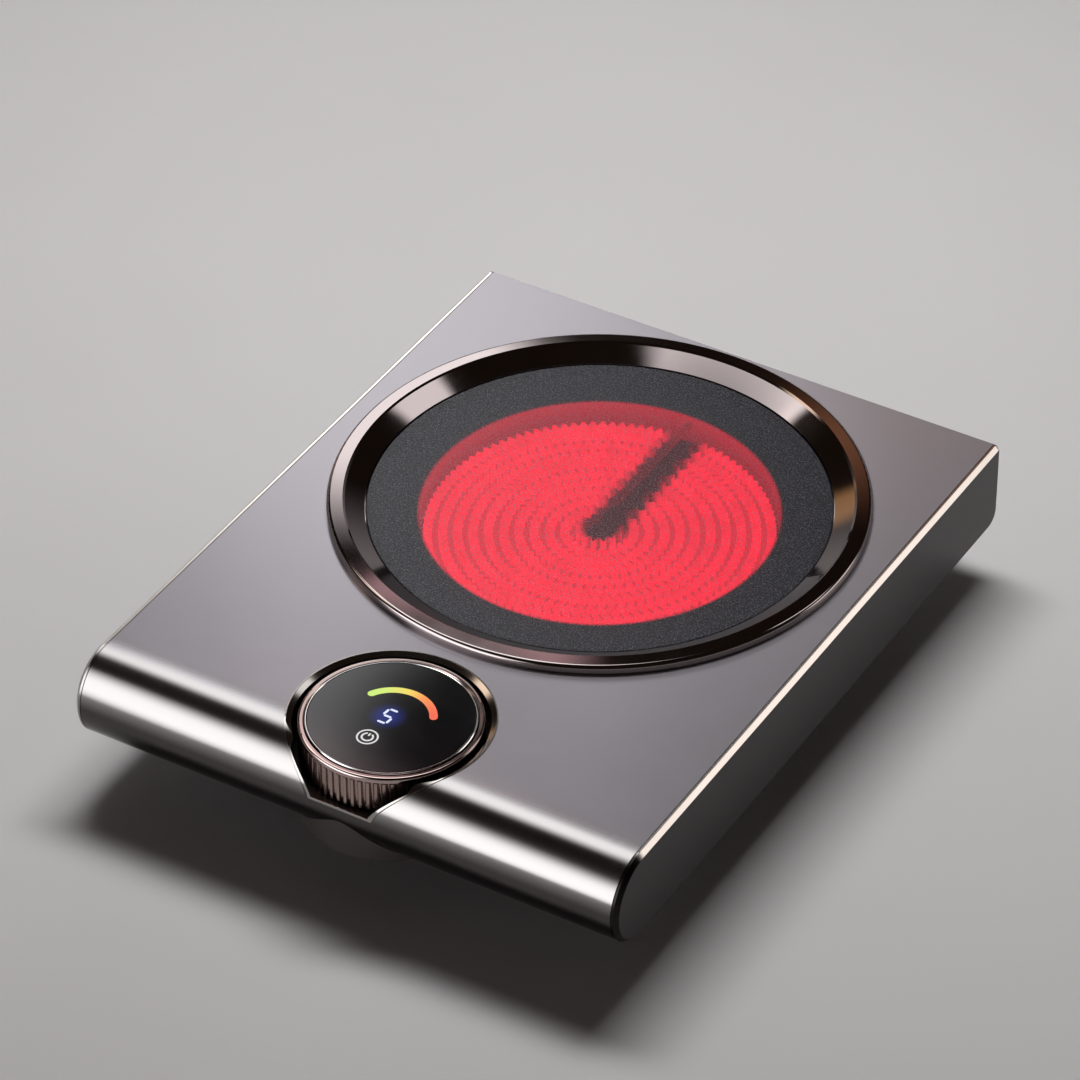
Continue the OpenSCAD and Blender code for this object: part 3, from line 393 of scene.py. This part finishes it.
board_green = surface("board_green", (0.02, 0.11, 0.05), 0.35, depth=0.004 * MM, vary=0.2, coat=0.3)
encoder_case = surface("encoder_case", (0.06, 0.08, 0.11), 0.42, vary=0.1)
fan_plastic = surface("fan_plastic", (0.016, 0.017, 0.019), 0.42, depth=0.008 * MM, vary=0.12)
brass = surface("standoff_brass", (0.62, 0.46, 0.2), 0.3, 1.0, vary=0.06)
aluminium = surface("sink_aluminium", (0.62, 0.63, 0.65), 0.36, 1.0, vary=0.06)
relay_plastic = surface("relay_plastic", (0.02, 0.09, 0.3), 0.4, vary=0.08)
capacitor_plastic = surface("capacitor_plastic", (0.5, 0.4, 0.05), 0.42, vary=0.08)
transformer_tape = surface("transformer_plastic", (0.58, 0.36, 0.06), 0.45, vary=0.1)
key_metal = surface("key_switch", (0.3, 0.3, 0.32), 0.4, 0.8, vary=0.08)
light_body = surface("display_leds", (0.6, 0.55, 0.45), 0.5, vary=0.08)

dress(shell_finish(), "top_shell")
dress(end_finish(), "left_end_plate", "right_end_plate")
dress(screw_steel, "end_plate_screws", "bottom_plate_screws", "base_tub_screws", "ring_clamp_screws",
      "bridge_screws", "control_board_screws", "carrier_screws", "hub_clip", "fan_screws", "well_posts")
dress(base_sheet, "bottom_plate")
dress(tub_plastic, "base_tub")
dress(foot_rubber, "rubber_feet")
dress(gland_plastic, "cord_gland")
dress(bracket_steel, "ring_clamps", "heater_bridge")
dress(seal_rubber, "glass_seal")
dress(pan_steel, "heater_pan")
dress(ceramic, "limiter_switch", "heater_terminal", "mains_terminals")
dress(well_finish(), "knob_well")
dress(bearing_plastic, "knob_hub", "knob_spacer", "encoder_pinion")
dress(grip_metal, "knob_grip")
dress(bezel_chrome, "knob_bezel")
dress(core_plastic, "knob_core", "display_carrier", "display_frame")
dress(encoder_case, "encoder")
dress(board_green, "control_board", "display_board", "power_board")
dress(light_body, "display_lights")
dress(key_metal, "power_key_switch")
dress(rim_chrome, "display_rim")
dress(fan_plastic, "fan_frame", "fan_rotor")
dress(brass, "board_standoffs")
dress(aluminium, "heat_sink")
dress(relay_plastic, "power_relay")
dress(capacitor_plastic, "filter_capacitor")
dress(transformer_tape, "board_transformer")


def hob_radius(graph):
    """Distance from the hob's axis, with the x and y from that axis and the height, in metres."""
    x, y, z = graph.split(graph.place())
    along = graph.math("SUBTRACT", y, HOB.y)
    across = graph.math("SUBTRACT", x, HOB.x)
    return graph.length(across, along), across, along, z


def ring_finish():
    """Polished rose metal, with the true normal of the ring's land, round edge and outer wall."""
    made, graph, shader = material("rose_chrome")
    radius, across, along, z = hob_radius(graph)
    edge_radius = RING_HIGH.x - LAND_EDGE
    land_inner = RING_HIGH.x - LAND_WIDTH
    edge_z = RING_HIGH.z - (edge_radius - land_inner) * LAND_FALL - LAND_EDGE * math.hypot(1, LAND_FALL)
    rise = graph.math("MAXIMUM", graph.math("SUBTRACT", z, edge_z), 0.0)
    past_edge = graph.math("SUBTRACT", radius, edge_radius)
    out = graph.math("MAXIMUM", past_edge, graph.math("MULTIPLY", rise, LAND_FALL))
    share = graph.math("DIVIDE", out, radius)
    turned = graph.facing(graph.math("MULTIPLY", across, share), graph.math("MULTIPLY", along, share), rise)
    on_land = graph.step(radius, land_inner + 0.05 * MM, land_inner + 0.15 * MM)
    where = graph.place()
    patches = graph.noise(where, PATCH, detail=3.0)
    grains = graph.noise(where, 2 * MM)
    tone = graph.tone(patches, grains)
    graph.put(shader.inputs["Base Color"], graph.mix(tone, shade(ROSE, 0.97), shade(ROSE, 1.03)))
    graph.put(shader.inputs["Roughness"], graph.step(patches, *PATCH_RANGE, 0.055, 0.085))
    normal = graph.mix(on_land, graph.normal(), turned)
    graph.put(shader.inputs["Normal"], graph.bump(grains, 0.0005 * MM, normal=normal))
    shader.inputs["Metallic"].default_value = 1.0
    return made


def glass_ceramic():
    """Tinted glass-ceramic, speckled on top and printed black underneath all round the heated zone."""
    made, graph, shader = material("hob_glass")
    where = graph.place()
    grains = graph.noise(where, 0.75 * MM, rough=0.6)
    specks = graph.step(grains, 0.47, 0.7)
    speckled = graph.mix(specks, colour(0.0085, 0.0085, 0.0115), colour(0.076, 0.078, 0.102))
    graph.put(shader.inputs["Base Color"], speckled)
    graph.put(shader.inputs["Roughness"], graph.step(grains, 0.3, 0.7, 0.34, 0.44))
    graph.put(shader.inputs["Normal"], graph.bump(grains, 0.02 * MM))
    radius, _, _, z = hob_radius(graph)
    print_edge = graph.step(radius, ZONE_RADIUS - 1.6 * MM, ZONE_RADIUS + 1.2 * MM)
    tint = graph.math("ADD", GLASS_TINT, graph.math("MULTIPLY", specks, SPECK_TINT))
    slant = graph.math("SUBTRACT", 1.0, graph.add("ShaderNodeLayerWeight", {"Blend": 0.5}).outputs["Facing"])
    path = graph.math("MAXIMUM", graph.math("DIVIDE", TINT_SLANT, graph.math("MAXIMUM", slant, 0.05)), 1.0)
    seen_through = graph.math("POWER", graph.math("SUBTRACT", 1.0, tint), path)
    on_top = graph.step(z, GLASS_HIGH.z - 0.6 * MM, GLASS_HIGH.z - 0.4 * MM)
    taken = graph.math("SUBTRACT", 1.0, seen_through)
    graph.put(shader.inputs["Alpha"], graph.mix(on_top, print_edge, taken))
    return made


def off_lane(graph, across, along, radius):
    """1 over the hot turns, fading to 0 in the cold lane toward the back and in the middle."""
    beside = graph.step(graph.math("ABSOLUTE", across), LANE_DARK, LANE_LIT)
    in_front = graph.step(along, 4 * MM, -4 * MM)
    off_centre = graph.step(radius, 5 * MM, 12 * MM)
    return graph.math("MULTIPLY", graph.math("MAXIMUM", beside, in_front), off_centre)


def glowing_ribbon():
    """Red-hot ribbon, all but dark where it turns back at the cold lane."""
    made, graph, shader = material("ribbon_alloy")
    radius, across, along, _ = hob_radius(graph)
    heat = graph.step(graph.noise(graph.place(), 9 * MM), 0.3, 0.7, *RIBBON_GLOW)
    shader.inputs["Base Color"].default_value = colour(0.12, 0.05, 0.045)
    shader.inputs["Roughness"].default_value = 0.55
    shader.inputs["Emission Color"].default_value = colour(*GLOW)
    hot = graph.step(off_lane(graph, across, along, radius), 0.0, 1.0, 0.08, 1.0)
    graph.put(shader.inputs["Emission Strength"], graph.math("MULTIPLY", heat, hot))
    return made


def glowing_bed():
    """Insulation, painted dark, whose glow is painted light from the ribbon: it glows between the turns, is
    dark in the cold lane and brightens up its wall.
    """
    made, graph, shader = material("insulation")
    radius, across, along, z = hob_radius(graph)
    where = graph.place()
    fibre = graph.noise(where, 1.4 * MM, detail=3.0)
    # Painted shade: the wool is darkened, and the ribbon's light on it is painted as the glow below.
    wool = graph.mix(fibre, colour(0.05, 0.047, 0.045), colour(0.12, 0.11, 0.105))
    graph.put(shader.inputs["Base Color"], wool)
    graph.put(shader.inputs["Normal"], graph.bump(fibre, 0.15 * MM))
    shader.inputs["Roughness"].default_value = 0.9
    inside = graph.step(radius, RIBBON_HIGH.x + 2.5 * MM, RIBBON_HIGH.x)
    on_bed = graph.math("MULTIPLY", off_lane(graph, across, along, radius), inside)
    # Painted light: the glow of the bed between the turns and of the wall, brighter toward its top.
    bed_painted_light = graph.math("MULTIPLY", graph.step(on_bed, 0.0, 1.0, 0.06, 1.0), BED_PAINTED_LIGHT)
    wall = graph.step(z, RIBBON_LOW.z + 1 * MM, INSULATION_TOP, *WALL_PAINTED_LIGHT)
    on_wall = graph.step(z, RIBBON_LOW.z + 0.2 * MM, RIBBON_LOW.z + 1.2 * MM)
    strength = graph.math("ADD", bed_painted_light, graph.math("MULTIPLY", on_wall, wall))
    shader.inputs["Emission Color"].default_value = colour(*GLOW)
    graph.put(shader.inputs["Emission Strength"], strength)
    return made


def display_face():
    """Black display glass with a faint blue halo round the lit digit, a painted glow of the digit's light."""
    made, graph, shader = material("display_black")
    where = graph.place()
    x, y, _ = graph.split(where)
    across = graph.math("SUBTRACT", x, KNOB.x + DIGIT_CENTRE.x)
    along = graph.math("SUBTRACT", y, KNOB.y + DIGIT_CENTRE.y)
    # Painted light: the halo is a glow painted on the glass.
    halo = graph.step(graph.length(across, along), 10 * MM, 1.5 * MM)
    film = graph.noise(where, 12 * MM, detail=3.0)
    black = graph.mix(film, colour(0.003, 0.003, 0.004), colour(0.004, 0.004, 0.005))
    graph.put(shader.inputs["Base Color"], black)
    graph.put(shader.inputs["Roughness"], graph.step(film, 0.3, 0.7, 0.07, 0.08))
    shader.inputs["Emission Color"].default_value = colour(0.03, 0.06, 0.5)
    graph.put(shader.inputs["Emission Strength"], graph.math("MULTIPLY", halo, 0.32))
    shader.inputs["Specular IOR Level"].default_value = 0.9
    return made


def hot_rod():
    """Limiter rod over the cold lane, dully lit by the ribbon below it, with that light painted as a glow."""
    made, graph, shader = material("rod_steel")
    where = graph.place()
    scale = graph.noise(where, 2 * MM, detail=3.0)
    burnt = graph.mix(scale, colour(0.07, 0.05, 0.046), colour(0.13, 0.09, 0.08))
    graph.put(shader.inputs["Base Color"], burnt)
    shader.inputs["Roughness"].default_value = 0.55
    shader.inputs["Metallic"].default_value = 0.5
    shader.inputs["Emission Color"].default_value = colour(*GLOW)
    radius, _, _, _ = hob_radius(graph)
    # Painted light: the rod's glow, stronger toward the heater's wall.
    near_wall = graph.step(radius, RIBBON_HIGH.x - 22 * MM, RIBBON_HIGH.x - 4 * MM, 1.0, 2.6)
    glow = graph.step(scale, 0.2, 0.8, *ROD_PAINTED_LIGHT)
    graph.put(shader.inputs["Emission Strength"], graph.math("MULTIPLY", glow, near_wall))
    return made


dress(ring_finish(), "trim_ring")
dress(glass_ceramic(), "glass_plate")
dress(hot_rod(), "limiter_rod")
dress(glowing_bed(), "heater_insulation")
dress(display_face(), "display_glass")


def mesh_piece(name, points, faces, made, body, slot):
    """A new piece with that mesh and material in a material slot, which rides with a body. The argument slot
    is not used.
    """
    mesh = bpy.data.meshes.new(name)
    mesh.from_pydata(points, [], faces)
    mesh.validate()
    mesh.materials.append(made)
    piece = bpy.data.objects.new(name, mesh)
    bpy.context.scene.collection.objects.link(piece)
    tidy = bmesh.new()
    tidy.from_mesh(mesh)
    bmesh.ops.recalc_face_normals(tidy, faces=tidy.faces)
    tidy.to_mesh(mesh)
    tidy.free()
    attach(piece, body)
    return piece


def turn_radius(turn):
    return COIL_INNER + turn * COIL_PITCH


def stop_angle(turn):
    return math.asin((LANE + COIL_PITCH / 2) / (turn_radius(turn) + COIL_PITCH / 2))


def left_stop(turn):
    return stop_angle(turn - turn % 2)


def right_stop(turn):
    return stop_angle(max(0, turn - 1 + turn % 2))


def serpentine(step):
    """Points along the whole ribbon, about step apart, each with how freely the ribbon may wave there."""
    found = []
    for turn in range(COIL_TURNS):
        radius = turn_radius(turn)
        span = 2 * math.pi - left_stop(turn) - right_stop(turn)
        count = max(FEWEST_STEPS, round(radius * span / step))
        for k in range(count + 1):
            share = k / count if turn % 2 == 0 else 1 - k / count
            angle = math.pi / 2 - right_stop(turn) - share * span
            found.append((Vector((math.cos(angle), math.sin(angle))) * radius, 1.0))
        if turn < COIL_TURNS - 1:
            side = -1 if turn % 2 == 0 else 1
            angle = math.pi / 2 + (left_stop(turn) if side < 0 else -right_stop(turn))
            out = Vector((math.cos(angle), math.sin(angle)))
            across = Vector((-out.y, out.x))
            middle = out * (radius + COIL_PITCH / 2)
            bends = round(math.pi * COIL_PITCH / 2 / step)
            for k in range(1, bends):
                swing = math.pi * k / bends
                away = across * side * math.sin(swing) - out * math.cos(swing)
                found.append((middle + away * COIL_PITCH / 2, BEND_FREEDOM))
    return found


def waved_ribbon():
    """The heating ribbon, corrugated along its whole length and standing on edge."""
    path = serpentine(WAVE_LENGTH / WAVE_STEPS)
    points, faces = [], []
    run = 0.0
    last = len(path) - 1
    centres = []
    for k, (point, freedom) in enumerate(path):
        if k:
            run += (point - path[k - 1][0]).length
        ahead = (path[min(k + 1, last)][0] - path[max(k - 1, 0)][0]).normalized()
        normal = Vector((-ahead.y, ahead.x))
        centres.append(point + normal * WAVE_HEIGHT * freedom * math.sin(2 * math.pi * run / WAVE_LENGTH))
    for k, centre in enumerate(centres):
        ahead = (centres[min(k + 1, last)] - centres[max(k - 1, 0)]).normalized()
        half = Vector((-ahead.y, ahead.x)) * RIBBON_THICKNESS / 2
        for z in (RIBBON_LOW.z, RIBBON_HIGH.z):
            for edge in (centre + half, centre - half):
                points.append((HOB.x + edge.x, HOB.y + edge.y, z))
    for k in range(last):
        a, b = 4 * k, 4 * k + 4
        for i, j in ((0, 1), (1, 3), (3, 2), (2, 0)):
            faces.append((a + i, a + j, b + j, b + i))
    faces.append((0, 1, 3, 2))
    faces.append((4 * last, 4 * last + 2, 4 * last + 3, 4 * last + 1))
    return points, faces


ribbon = mesh_piece("waved_ribbon", *waved_ribbon(), glowing_ribbon(), "body", "ribbon_alloy")
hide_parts("heating_ribbon")


def raised(outline, low, high):
    """A flat plate with that outline, closed all round."""
    count = len(outline)
    points = [(p.x, p.y, low) for p in outline] + [(p.x, p.y, high) for p in outline]
    faces = [tuple(reversed(range(count))), tuple(range(count, 2 * count))]
    faces += [(k, (k + 1) % count, count + (k + 1) % count, count + k) for k in range(count)]
    return points, faces


def joined(shapes):
    points, faces = [], []
    for some, others in shapes:
        faces += [tuple(len(points) + i for i in face) for face in others]
        points += some
    return points, faces


def arc_band(centre, radius, width, start, end, low, high, steps=48, caps=10):
    """A band along an arc, with round ends."""
    half = width / 2
    outline = []
    for k in range(steps + 1):
        angle = math.radians(start + (end - start) * k / steps)
        outline.append(centre + Vector((math.cos(angle), math.sin(angle))) * (radius + half))
    for tip, turn in ((end, 1), (start, -1)):
        angle = math.radians(tip)
        middle = centre + Vector((math.cos(angle), math.sin(angle))) * radius
        for k in range(1, caps):
            swing = angle + math.pi * k / caps + (0 if turn > 0 else math.pi)
            outline.append(middle + Vector((math.cos(swing), math.sin(swing))) * half)
        if turn > 0:
            for k in range(steps + 1):
                back = math.radians(end + (start - end) * k / steps)
                outline.append(centre + Vector((math.cos(back), math.sin(back))) * (radius - half))
    return raised(outline, low, high)


def ring_band(centre, radius, width, low, high, steps=64):
    """A closed ring, of a square section."""
    points, faces = [], []
    for k in range(steps):
        angle = 2 * math.pi * k / steps
        out = Vector((math.cos(angle), math.sin(angle)))
        for r, z in ((radius - width / 2, low), (radius + width / 2, low), (radius + width / 2, high),
                     (radius - width / 2, high)):
            p = centre + out * r
            points.append((p.x, p.y, z))
    for k in range(steps):
        a, b = 4 * k, 4 * ((k + 1) % steps)
        for i in range(4):
            j = (i + 1) % 4
            faces.append((a + i, a + j, b + j, b + i))
    return points, faces


def bar(start, end, width, low, high):
    """A bar with pointed ends, as in a seven-segment digit."""
    ahead = (end - start).normalized()
    side = Vector((-ahead.y, ahead.x)) * width / 2
    inset = ahead * width / 2
    outline = [start, start + inset - side, end - inset - side, end, end - inset + side, start + inset + side]
    return raised(outline, low, high)


def digit_five():
    """A slanted seven-segment 5."""
    right, top = DIGIT_WIDTH / 2, DIGIT_HEIGHT / 2
    corners = {"tl": (-right, top), "tr": (right, top), "ml": (-right, 0), "mr": (right, 0),
               "bl": (-right, -top), "br": (right, -top)}
    centre = KNOB.xy + DIGIT_CENTRE

    def at(name):
        x, y = corners[name]
        return centre + Vector((x + DIGIT_SLANT * y, y))

    pairs = (("tl", "tr"), ("ml", "tl"), ("ml", "mr"), ("br", "mr"), ("bl", "br"))
    shapes = []
    for a, b in pairs:
        start, end = at(a), at(b)
        ends = start.lerp(end, DIGIT_GAP / 2), end.lerp(start, DIGIT_GAP / 2)
        shapes.append(bar(*ends, DIGIT_LINE, KNOB.z, KNOB.z + MARK_HEIGHT))
    return joined(shapes)


def power_sign():
    """The power sign in a ring: a broken circle with a stem through its gap."""
    centre = KNOB.xy + POWER_CENTRE
    low, high = KNOB.z, KNOB.z + MARK_HEIGHT
    stem = [centre + Vector((0, POWER_SIGN * share)) for share in POWER_STEM]
    return joined([
        ring_band(centre, POWER_RING, POWER_RING_LINE, low, high),
        arc_band(centre, POWER_SIGN, POWER_SIGN_LINE, *POWER_SIGN_ENDS, low, high),
        bar(*stem, POWER_SIGN_LINE, low, high)])


def lit(name, tint, strength):
    """A mark that shines in that tint, slightly uneven as over its lamps."""
    made, graph, shader = material(name)
    where = graph.place()
    cells = graph.noise(where, 0.8 * MM, detail=1.0)
    shader.inputs["Base Color"].default_value = colour(0.02, 0.02, 0.02)
    shader.inputs["Roughness"].default_value = 0.4
    shader.inputs["Emission Color"].default_value = colour(*tint)
    glow = graph.step(cells, 0.2, 0.8, strength * 0.92, strength * 1.08)
    graph.put(shader.inputs["Emission Strength"], glow)
    return made


def heat_scale():
    """Colour along the arc, from yellow-green at its left end to orange-red at its right end."""
    made, graph, shader = material("heat_scale")
    x, y, _ = graph.split(graph.place())
    angle = graph.math("ARCTAN2", graph.math("SUBTRACT", y, KNOB.y), graph.math("SUBTRACT", x, KNOB.x))
    share = graph.step(angle, math.radians(ARC_ENDS[0]), math.radians(ARC_ENDS[1]))
    ramp = graph.add("ShaderNodeValToRGB", {"Fac": share})
    stops = ramp.color_ramp.elements
    stops[0].color = colour(0.9, 0.1, 0.03)
    stops[1].color = colour(0.6, 0.86, 0.16)
    for place, tint in ((0.3, colour(0.95, 0.3, 0.05)), (0.6, colour(0.9, 0.68, 0.08))):
        stops.new(place).color = tint
    shader.inputs["Base Color"].default_value = colour(0.02, 0.02, 0.02)
    shader.inputs["Roughness"].default_value = 0.4
    graph.put(shader.inputs["Emission Color"], ramp.outputs["Color"])
    shader.inputs["Emission Strength"].default_value = 0.95
    return made


arc = arc_band(KNOB.xy, ARC_RADIUS, ARC_WIDTH, *ARC_ENDS, KNOB.z, KNOB.z + MARK_HEIGHT)
mesh_piece("heat_arc", *arc, heat_scale(), "display", "display_leds")
digit_light = lit("digit_light", (0.72, 0.78, 1.0), 1.0)
mesh_piece("level_digit", *digit_five(), digit_light, "display", "display_leds")
power_light = lit("power_light", (0.8, 0.8, 0.8), 0.85)
mesh_piece("power_sign", *power_sign(), power_light, "display", "display_leds")


def studio_floor():
    """A plain pale floor that the part stands on."""
    made, graph, shader = material("floor_pale")
    where = graph.place()
    patches = graph.noise(where, 0.25, detail=4.0)
    pale = graph.mix(patches, colour(0.60, 0.585, 0.585), colour(0.66, 0.645, 0.645))
    graph.put(shader.inputs["Base Color"], pale)
    shader.inputs["Roughness"].default_value = 0.8
    mesh = bpy.data.meshes.new("floor")
    corners = [(x * FLOOR_REACH, y * FLOOR_REACH, 0) for x, y in ((-1, -1), (1, -1), (1, 1), (-1, 1))]
    mesh.from_pydata(corners, [], [(0, 1, 2, 3)])
    mesh.materials.append(made)
    piece = bpy.data.objects.new("floor", mesh)
    bpy.context.scene.collection.objects.link(piece)


def softbox(name, centre, target, rise, size, radiance, fades=EVEN, key=False, tint=WHITE):
    """An area light that fades by those shares of its size at its left, right, low and high edge.

    The key light lights the surfaces; the others are cards that only show in gloss, as reflectors do."""
    width, height = size
    lamp = bpy.data.lights.new(name, "AREA")
    lamp.shape = "RECTANGLE"
    lamp.size = width
    lamp.size_y = height
    lamp.energy = radiance * math.pi * width * height
    lamp.color = tint
    lamp.use_nodes = True
    graph = Graph(lamp.node_tree)
    u, v, _ = graph.split(graph.add("ShaderNodeNewGeometry").outputs["Parametric"])
    fade = None
    shares = (u, graph.math("SUBTRACT", 1.0, u), v, graph.math("SUBTRACT", 1.0, v))
    for share, soft in zip(shares, fades):
        edge = graph.step(share, 0.0, soft)
        fade = edge if fade is None else graph.math("MULTIPLY", fade, edge)
    emission = graph.add("ShaderNodeEmission", {"Strength": fade})
    output = graph.add("ShaderNodeOutputLight")
    graph.tree.links.new(emission.outputs[0], output.inputs[0])
    made = bpy.data.objects.new(name, lamp)
    back = (centre - target).normalized()
    across = rise.cross(back).normalized()
    turn = Matrix((across, back.cross(across), back)).transposed()
    made.matrix_world = Matrix.Translation(centre) @ turn.to_4x4()
    made.visible_camera = False
    made.visible_glossy = not key
    made.visible_diffuse = key
    bpy.context.scene.collection.objects.link(made)


def toward(azimuth, elevation):
    """Direction at those angles in degrees: azimuth from +X toward +Y, elevation above the floor."""
    flat = math.cos(math.radians(elevation))
    turn = math.radians(azimuth)
    return Vector((math.cos(turn) * flat, math.sin(turn) * flat, math.sin(math.radians(elevation))))


def studio_world():
    """A sky that is pale at the horizon and dark above it."""
    world = bpy.data.worlds.new("studio")
    bpy.context.scene.world = world
    world.use_nodes = True
    graph = Graph(world.node_tree)
    _, _, up = graph.split(graph.add("ShaderNodeTexCoord").outputs["Generated"])
    sky = graph.mix(graph.step(up, 0.02, 0.42), colour(*HORIZON), colour(*ZENITH))
    background = graph.add("ShaderNodeBackground", {"Color": sky})
    output = graph.add("ShaderNodeOutputWorld")
    graph.tree.links.new(background.outputs[0], output.inputs[0])


def camera():
    """The photograph's camera."""
    back = Vector((math.sin(CAMERA_AZIMUTH) * math.cos(CAMERA_ELEVATION),
                   -math.cos(CAMERA_AZIMUTH) * math.cos(CAMERA_ELEVATION), math.sin(CAMERA_ELEVATION)))
    level = Vector((math.cos(CAMERA_AZIMUTH), math.sin(CAMERA_AZIMUTH), 0))
    rise = back.cross(level)
    right = level * math.cos(CAMERA_ROLL) + rise * math.sin(CAMERA_ROLL)
    up = back.cross(right)
    data = bpy.data.cameras.new("camera")
    data.lens = CAMERA_LENS
    data.sensor_width = CAMERA_SENSOR
    data.sensor_fit = "HORIZONTAL"
    data.clip_end = CAMERA_FAR
    made = bpy.data.objects.new("camera", data)
    turn = Matrix((right, up, back)).transposed()
    made.matrix_world = Matrix.Translation(CAMERA_TARGET + back * CAMERA_DISTANCE) @ turn.to_4x4()
    bpy.context.scene.collection.objects.link(made)
    bpy.context.scene.camera = made


# Cards that light the panel stand behind on the left, all turned the same way
PANEL_BACK = toward(127, 35)
PANEL_LEAN = Vector((-0.245, -0.738, 0.631))

# Where the round front begins, and how far from there its cards stand
NOSE = Vector((0.0, NOSE_Y, PANEL_Z))
NOSE_CARD_REACH = 1.2


def panel_card(name, centre, **settings):
    softbox(name, centre, centre - PANEL_BACK, PANEL_LEAN, **settings)


def overhead_card(name, centre, rise, **settings):
    softbox(name, centre, centre - UP, rise, **settings)


def nose_card(name, direction, **settings):
    softbox(name, NOSE + direction * NOSE_CARD_REACH, NOSE, UP, **settings)


studio_floor()
studio_world()
softbox("key", Vector((-0.2, 0.45, 1.25)), Vector((0, -0.02, 0.05)), UP,
        size=(1.1, 0.35), radiance=20.0, key=True)
panel_card("panel_card", Vector((-0.718, 0.788, 0.663)),
           size=(0.549, 0.478), radiance=2.45, fades=(0.13, 0.13, 0.16, 0.381))
overhead_card("band_card", Vector((-0.4265, 0.2078, 0.9)), Vector((0.174, 0.985, 0)),
              size=(0.72, 0.642), radiance=3.2, fades=(0.11, 0.11, 0.503, 0.186))
softbox("display_card", Vector((-0.507, 0.576, 0.78)), Vector((-0.02, -0.1345, 0.073)), UP,
        size=(0.09, 0.14), radiance=1.05, fades=(0.85, 0.12, 0.25, 0.25))
panel_card("right_card", Vector((-0.365, 0.66, 0.771)), size=(0.11, 0.15), radiance=1.6, fades=(0.35,) * 4)
panel_card("back_card", Vector((-0.419, 0.921, 0.771)), size=(0.28, 0.24), radiance=2.8, fades=(0.5,) * 4)
overhead_card("land_card", Vector((-0.4098, 0.4787, 0.78)), Vector((0.21, 0.977, 0)),
              size=(0.36, 0.084), radiance=0.9, fades=(0.15, 0.15, 0.3, 0.3), tint=(1.0, 0.66, 0.7))
softbox("brown_card", Vector((-0.324, 1.039, 0.748)), Vector((0.08, 0.13, 0.077)), UP,
        size=(0.3, 0.3), radiance=0.46, fades=(0.45,) * 4, tint=(1.0, 0.45, 0.24))
FRONT_CARD = Vector((-0.603, -1.102, 0.518))
softbox("front_card", FRONT_CARD, FRONT_CARD - toward(241, 16), Vector((0.5, 0, 1)),
        size=(1.54, 1.34), radiance=3.7, fades=(0.14, 0.11, 0.369, 0.417))
nose_card("left_card", toward(171, 42),
          size=(0.4, 0.35), radiance=2.4, fades=(0.3,) * 4, tint=(1.0, 0.8, 0.62))
softbox("edge_card", Vector((0.883, 0.807, 0.557)), Vector((0.14, 0, 0.07)), UP,
        size=(0.8, 0.5), radiance=1.7, tint=(1.0, 0.95, 0.9))
nose_card("collar_card", toward(69.5, 46), size=(0.3, 0.3), radiance=1.9)
softbox("amber_card", Vector((-1.02, 0.647, 0.453)), Vector((0.098, 0.1025, 0.0735)), UP,
        size=(0.36, 0.3), radiance=0.6, fades=(0.3,) * 4, tint=(1.0, 0.55, 0.22))
camera()

scene = bpy.context.scene
scene.view_settings.view_transform = "Standard"
